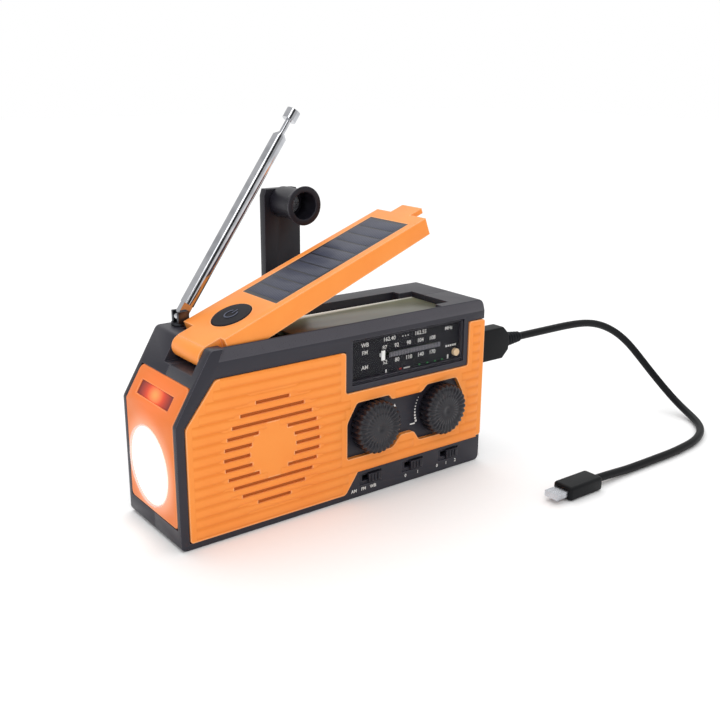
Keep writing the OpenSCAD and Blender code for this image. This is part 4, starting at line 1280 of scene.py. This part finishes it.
@dataclass
class Knob:
    """A fluted knob with ribs that run over its rim on to the face."""

    node: str
    body: Body
    radius: float = 11.7
    flutes: int = 28
    flute_depth: float = 1.1
    rim: float = 1.6
    face_depth: float = 0.6

    def build(self, finish: Material) -> Piece:
        """Turn the knob, cut its flutes and set it on its shaft.

        Args:
            finish: Plastic of the knob.

        Returns:
            The knob, in the CAD knob's place.
        """
        low, high = corner_of(self.node)
        tall = high.y - low.y
        r = self.radius
        profile = [(0.0, 0.0), (r - 0.9, 0.0), (r - 0.5, 0.4), (r - 0.1, 1.0), (r, tall - self.rim - 0.5),
                   (r - 0.2, tall - self.rim), (r - 0.8, tall - 0.75), (r - 1.6, tall - 0.25),
                   (r - 2.6, tall - 0.02), (r - 3.4, tall - 0.12), (r - 4.2, tall - 0.35), (r - 5.4, tall - 0.5),
                   (3.0, tall - 0.55),
                   (1.6, tall - 0.55), (1.1, tall - 0.95), (0.0, tall - 1.05)]
        form = turned(profile, self.flutes * 6)
        for vert in form.verts:
            reach = math.hypot(vert.co.x, vert.co.y) / MM
            if reach < r - 4.5 or vert.co.z < 0.2 * MM:
                continue
            wave = 0.5 - 0.5 * math.cos(math.atan2(vert.co.y, vert.co.x) * self.flutes)
            cut = self.flute_depth * wave ** 1.5
            inward = max(0.0, (reach - cut) / reach)
            vert.co.x *= inward
            vert.co.y *= inward
            if reach < r - 1.0:
                vert.co.z -= self.face_depth * cut * MM
        middle = (low + high) / 2
        form.transform(facing_front(middle.x, high.y, middle.z))
        piece = add_piece(f"{self.node}_fluted", form, finish, self.body, crease=50.0)
        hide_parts(self.node)
        return piece


@dataclass
class Controls:
    """Knobs, slide switches and the marks printed beside them."""

    face_y: float = -23.03
    well_y: float = -21.23
    mark_z: float = 3.1
    marks: tuple[tuple[str, float], ...] = (("AM", 4.2), ("FM", 9.4), ("WB", 14.6), ("0", 33.0), ("1", 40.2),
                                            ("0", 51.8), ("1", 57.4), ("2", 63.0))

    def prints(self) -> Form:
        """Set the switch marks and the volume knob's arc.

        Returns:
            All the printed marks.
        """
        form = bmesh.new()
        for words, x in self.marks:
            letters = lettering(words, 2.1)
            letters.transform(facing_front(x, self.face_y, self.mark_z))
            join(form, letters)
        volume = middle_of("volume_knob")
        for i in range(9):
            angle = math.radians(150 + 6 * i)
            dot = bmesh.new()
            bmesh.ops.create_circle(dot, cap_ends=True, radius=(0.22 + 0.05 * i) * MM, segments=10)
            dot.transform(facing_front(volume.x + 13.4 * math.cos(angle), self.well_y - 0.02,
                                       volume.z + 13.4 * math.sin(angle)))
            join(form, dot)
        tuner = middle_of("tuning_knob")
        wedge = bmesh.new()
        bmesh.ops.create_circle(wedge, cap_ends=True, radius=0.9 * MM, segments=3)
        wedge.transform(facing_front(tuner.x + 12.9, self.well_y - 0.02, tuner.z + 5.6))
        join(form, wedge)
        join(form, bar(Vector((36.4, self.well_y - 0.03, 26.0)), Vector((39.2, self.well_y + 0.02, 26.6))))
        return form

    def grips(self, node: str, body: Body, finish: Material) -> None:
        """Raise three grip ribs on a switch's cap.

        Args:
            node: The switch.
            body: The body it slides on.
            finish: Plastic of the ribs.
        """
        low, high = corner_of(node)
        middle = (low + high) / 2
        form = bmesh.new()
        for i in (-1, 0, 1):
            x = middle.x + 1.7 * i
            join(form, bar(Vector((x - 0.4, low.y - 0.45, middle.z - 1.6)),
                           Vector((x + 0.4, low.y + 0.1, middle.z + 1.6)), 0.18))
        add_piece(f"{node}_grip", form, finish, body)

    def build(self, finishes: Finishes) -> None:
        """Fit knobs and switches and print their marks.

        Args:
            finishes: Every finish, by name.
        """
        black = finishes["black_abs"]
        Knob("tuning_knob", Body.TUNER).build(finishes["knob_abs"])
        Knob("volume_knob", Body.VOLUME).build(finishes["knob_abs"])
        for node, body in (("band_switch", Body.BAND), ("torch_switch", Body.TORCH), ("alarm_switch", Body.ALARM)):
            soften(node, black, body, 0.3)
            self.grips(node, body, black)
        add_piece("control_prints", self.prints(), finishes["white_ink"], Body.CASING)
        dress(finishes["white_acetal"], "tuning_shaft", "volume_shaft", "tuning_capacitor")
        dress(finishes["nickel_steel"], "volume_control")
        dress(finishes["board_laminate"], "main_board")
        dress(finishes["cell_sleeve"], "battery_cell")


@dataclass
class TorchEnd:
    """The torch in the left end and the red distress lamp on the slope."""

    rings: int = 6
    ring_h: float = 0.22
    bulge: float = 1.6

    def seat(self) -> tuple[Matrix, float]:
        """Place and radius of the lens, for a form turned about Z.

        Returns:
            The place, looking out of the torch end, and the radius in millimetres.
        """
        low, high = corner_of("torch_lens")
        middle = (low + high) / 2
        return Matrix.Translation(middle * MM) @ Matrix.Rotation(-math.pi / 2, 4, "Y"), (high.z - low.z) / 2

    def lens(self, finish: Material) -> Piece:
        """Turn the torch's domed lens with its rings.

        Args:
            finish: The lit acrylic.

        Returns:
            The lens, in the CAD lens's place.
        """
        place, radius = self.seat()
        profile = [(0.0, -1.2), (radius, -1.2), (radius, 0.5), (radius - 0.5, 0.9)]
        bands = 2 * self.rings
        for i in range(bands + 1):
            share = 1 - i / bands
            r = (radius - 1.0) * share
            profile.append((r, 0.9 + self.bulge * (1 - share * share) + (self.ring_h if i % 2 else 0.0) * share))
        form = turned(profile, 96)
        form.transform(place)
        piece = add_piece("torch_lens_ringed", form, finish, Body.CASING, crease=50.0)
        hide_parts("torch_lens")
        return piece

    def rim(self, finish: Material) -> Piece:
        """Turn the clear rim round the lens.

        Args:
            finish: The clear acrylic.

        Returns:
            The rim.
        """
        place, radius = self.seat()
        form = turned([(radius - 0.9, 0.4), (radius - 0.4, 1.35), (radius + 0.5, 1.45), (radius + 0.95, 0.9),
                       (radius + 0.95, 0.5), (radius - 0.9, 0.4)], 96)
        form.transform(place)
        return add_piece("torch_rim", form, finish, Body.CASING, crease=50.0)

    def build(self, finishes: Finishes) -> None:
        """Fit both lamps.

        Args:
            finishes: Every finish, by name.
        """
        torch = middle_of("torch_lens")
        sos = middle_of("sos_lens")
        # Moulded acrylic over a white lamp: the whole lens is brighter than its surroundings
        finishes.add(LitPlastic("torch_acrylic_lit", "#FFFFFF", "#FFF9F0", "#FFE6CC", tuple(torch), (60, 20, 20),
                                3.0, 0.6),
                     # Red polycarbonate with a warm lamp behind its middle
                     LitPlastic("red_polycarbonate_lit", "#FFA050", "#D23A0C", "#7A0C00", tuple(sos), (9, 13, 9),
                                0.6, 0.05))
        self.lens(finishes["torch_acrylic_lit"])
        self.rim(finishes["clear_acrylic"])
        dress(finishes["red_polycarbonate_lit"], "sos_lens")
        dress(finishes["reflector_aluminium"], "torch_reflector")
        dress(finishes["white_mask"], "torch_led", "lamp_board")


@dataclass
class SolarFlap:
    """The orange flap with its solar panel, lamp button and liner."""

    angle: float = 20.7
    hinge: tuple[float, float] = (-60.0, 73.5)
    top: float = 4.7
    cells: int = 10
    cell_gap: float = 0.7
    frame_w: float = 1.3
    u_range: tuple[float, float] = (34.5, 105.0)
    y_range: tuple[float, float] = (-16.6, 8.9)
    button_u: float = 20.0
    button_y: float = -5.0
    symbol_r: float = 2.7

    def on_flap(self) -> Matrix:
        """Place of the flap's own frame: along it, across it and square to it."""
        place = Vector((self.hinge[0], 0.0, self.hinge[1])) * MM
        return Matrix.Translation(place) @ Matrix.Rotation(-math.radians(self.angle), 4, "Y")

    def solar_cells(self, finish: Material) -> Piece:
        """Lay the row of cells on the panel.

        Args:
            finish: The silicon.

        Returns:
            The cells, as one piece.
        """
        form = bmesh.new()
        start, end = self.u_range[0] + self.frame_w, self.u_range[1] - self.frame_w
        low, high = self.y_range[0] + self.frame_w, self.y_range[1] - self.frame_w
        pitch = (end - start) / self.cells
        for i in range(self.cells):
            u = start + i * pitch
            join(form, bar(Vector((u + self.cell_gap / 2, low, self.top - 0.02)),
                           Vector((u + pitch - self.cell_gap / 2, high, self.top + 0.06)), 0.02))
        form.transform(self.on_flap())
        return add_piece("solar_cells", form, finish, Body.FLAP)

    def symbol(self, finish: Material) -> Piece:
        """Raise a broken ring and a bar on the button.

        Args:
            finish: Ink of the symbol.

        Returns:
            The symbol.
        """
        form = bmesh.new()
        corners = [form.verts.new((r * MM, 0.0, h * MM)) for r, h in
                   ((self.symbol_r - 0.3, 0.0), (self.symbol_r + 0.3, 0.0), (self.symbol_r + 0.3, 0.12),
                    (self.symbol_r - 0.3, 0.12))]
        face = form.faces.new(corners)
        bmesh.ops.rotate(form, cent=(0, 0, 0), matrix=Matrix.Rotation(math.radians(35), 3, "Z"), verts=form.verts)
        bmesh.ops.spin(form, geom=[*corners, *form.edges[:], face], cent=(0, 0, 0), axis=(0, 0, 1),
                       angle=math.radians(290), steps=32)
        bmesh.ops.recalc_face_normals(form, faces=form.faces)
        join(form, bar(Vector((0.6, -0.3, 0.0)), Vector((3.4, 0.3, 0.12))))
        place = Vector((self.button_u, self.button_y, self.top + 0.65)) * MM
        form.transform(self.on_flap() @ Matrix.Translation(place))
        return add_piece("button_symbol", form, finish, Body.BUTTON)

    def build(self, finishes: Finishes) -> None:
        """Mould the flap and fit what it carries.

        Args:
            finishes: Every finish, by name.
        """
        soften("flap_cover", finishes["orange_abs"], Body.FLAP, 0.8, 3)
        soften("flap_button", finishes["soft_touch_black"], Body.BUTTON, 0.5, 3)
        dress(finishes["panel_frame_black"], "solar_panel")
        dress(finishes["charcoal_abs"], "flap_liner")
        self.solar_cells(finishes["solar_silicon"])
        self.symbol(finishes["faint_ink"])


@dataclass
class ReadingLamp:
    """The lamp under the flap, lit and brightest towards the back."""

    edge: float = 0.3
    brightness: float = 0.45

    def build(self, finishes: Finishes) -> None:
        """Fit the diffuser.

        Args:
            finishes: Every finish, by name.
        """
        low, high = corner_of("lamp_diffuser")
        # Milky polycarbonate over a lamp board: olive at the unlit front, white at the back
        finishes.add(LitPlastic("milky_diffuser_lit", "#FFFFF6", "#6C6D58", "#45463A",
                                (160.0, low.y - 1.0, 0.0), (-900.0, (high.y - low.y) * 1.25, 1.0),
                                self.brightness, 0.0,
                                Spread.ACROSS, 0.86))
        soften("lamp_diffuser", finishes["milky_diffuser_lit"], Body.CASING, self.edge)


@dataclass
class Crank:
    """The hand crank on the back with its hollow handle."""

    arm_edge: float = 0.6
    hub_edge: float = 0.4
    handle_edge: float = 0.35

    def build(self, finishes: Finishes) -> None:
        """Mould the crank and dress its pins and gears.

        Args:
            finishes: Every finish, by name.
        """
        black = finishes["black_abs"]
        soften("crank_arm", black, Body.ARM, self.arm_edge, 3)
        soften("crank_hub", black, Body.CRANK, self.hub_edge)
        soften("crank_handle", black, Body.HANDLE, self.handle_edge, 3)
        dress(finishes["nickel_steel"], "crank_shaft", "crank_fold_pin", "handle_pin", "idler_axle",
              "dynamo_rotor", "dynamo_can")
        dress(finishes["white_acetal"], "crank_gear", "idler_gear")


@dataclass
class Aerial:
    """The telescopic aerial, whose tubes step down to a capped rod."""

    tubes: int = 4

    def build(self, finishes: Finishes) -> None:
        """Plate the tubes.

        Args:
            finishes: Every finish, by name.
        """
        dress(finishes["aerial_chrome"], *(f"aerial_tube_{i + 1}" for i in range(self.tubes)), "aerial_rod")
        dress(finishes["blackened_steel"], "aerial_swivel")


def main() -> None:
    """Build the studio and the radio, and report each sub-assembly."""
    logging.basicConfig(level=logging.INFO, format="%(message)s")
    Viewpoint().build()
    finishes = Finishes()
    finishes.build()
    log.info("finishes: %d", len(finishes.made))
    dress(finishes["amber_epoxy_lit"], "indicator_led")
    for part in (ChargingLead(), Casing(), FrontPanel(), Dial(), Controls(), TorchEnd(), SolarFlap(), ReadingLamp(),
                 Crank(), Aerial()):
        part.build(finishes)
        log.info("%s built", type(part).__name__)
    Studio().build()


if __name__ == "__main__":
    main()
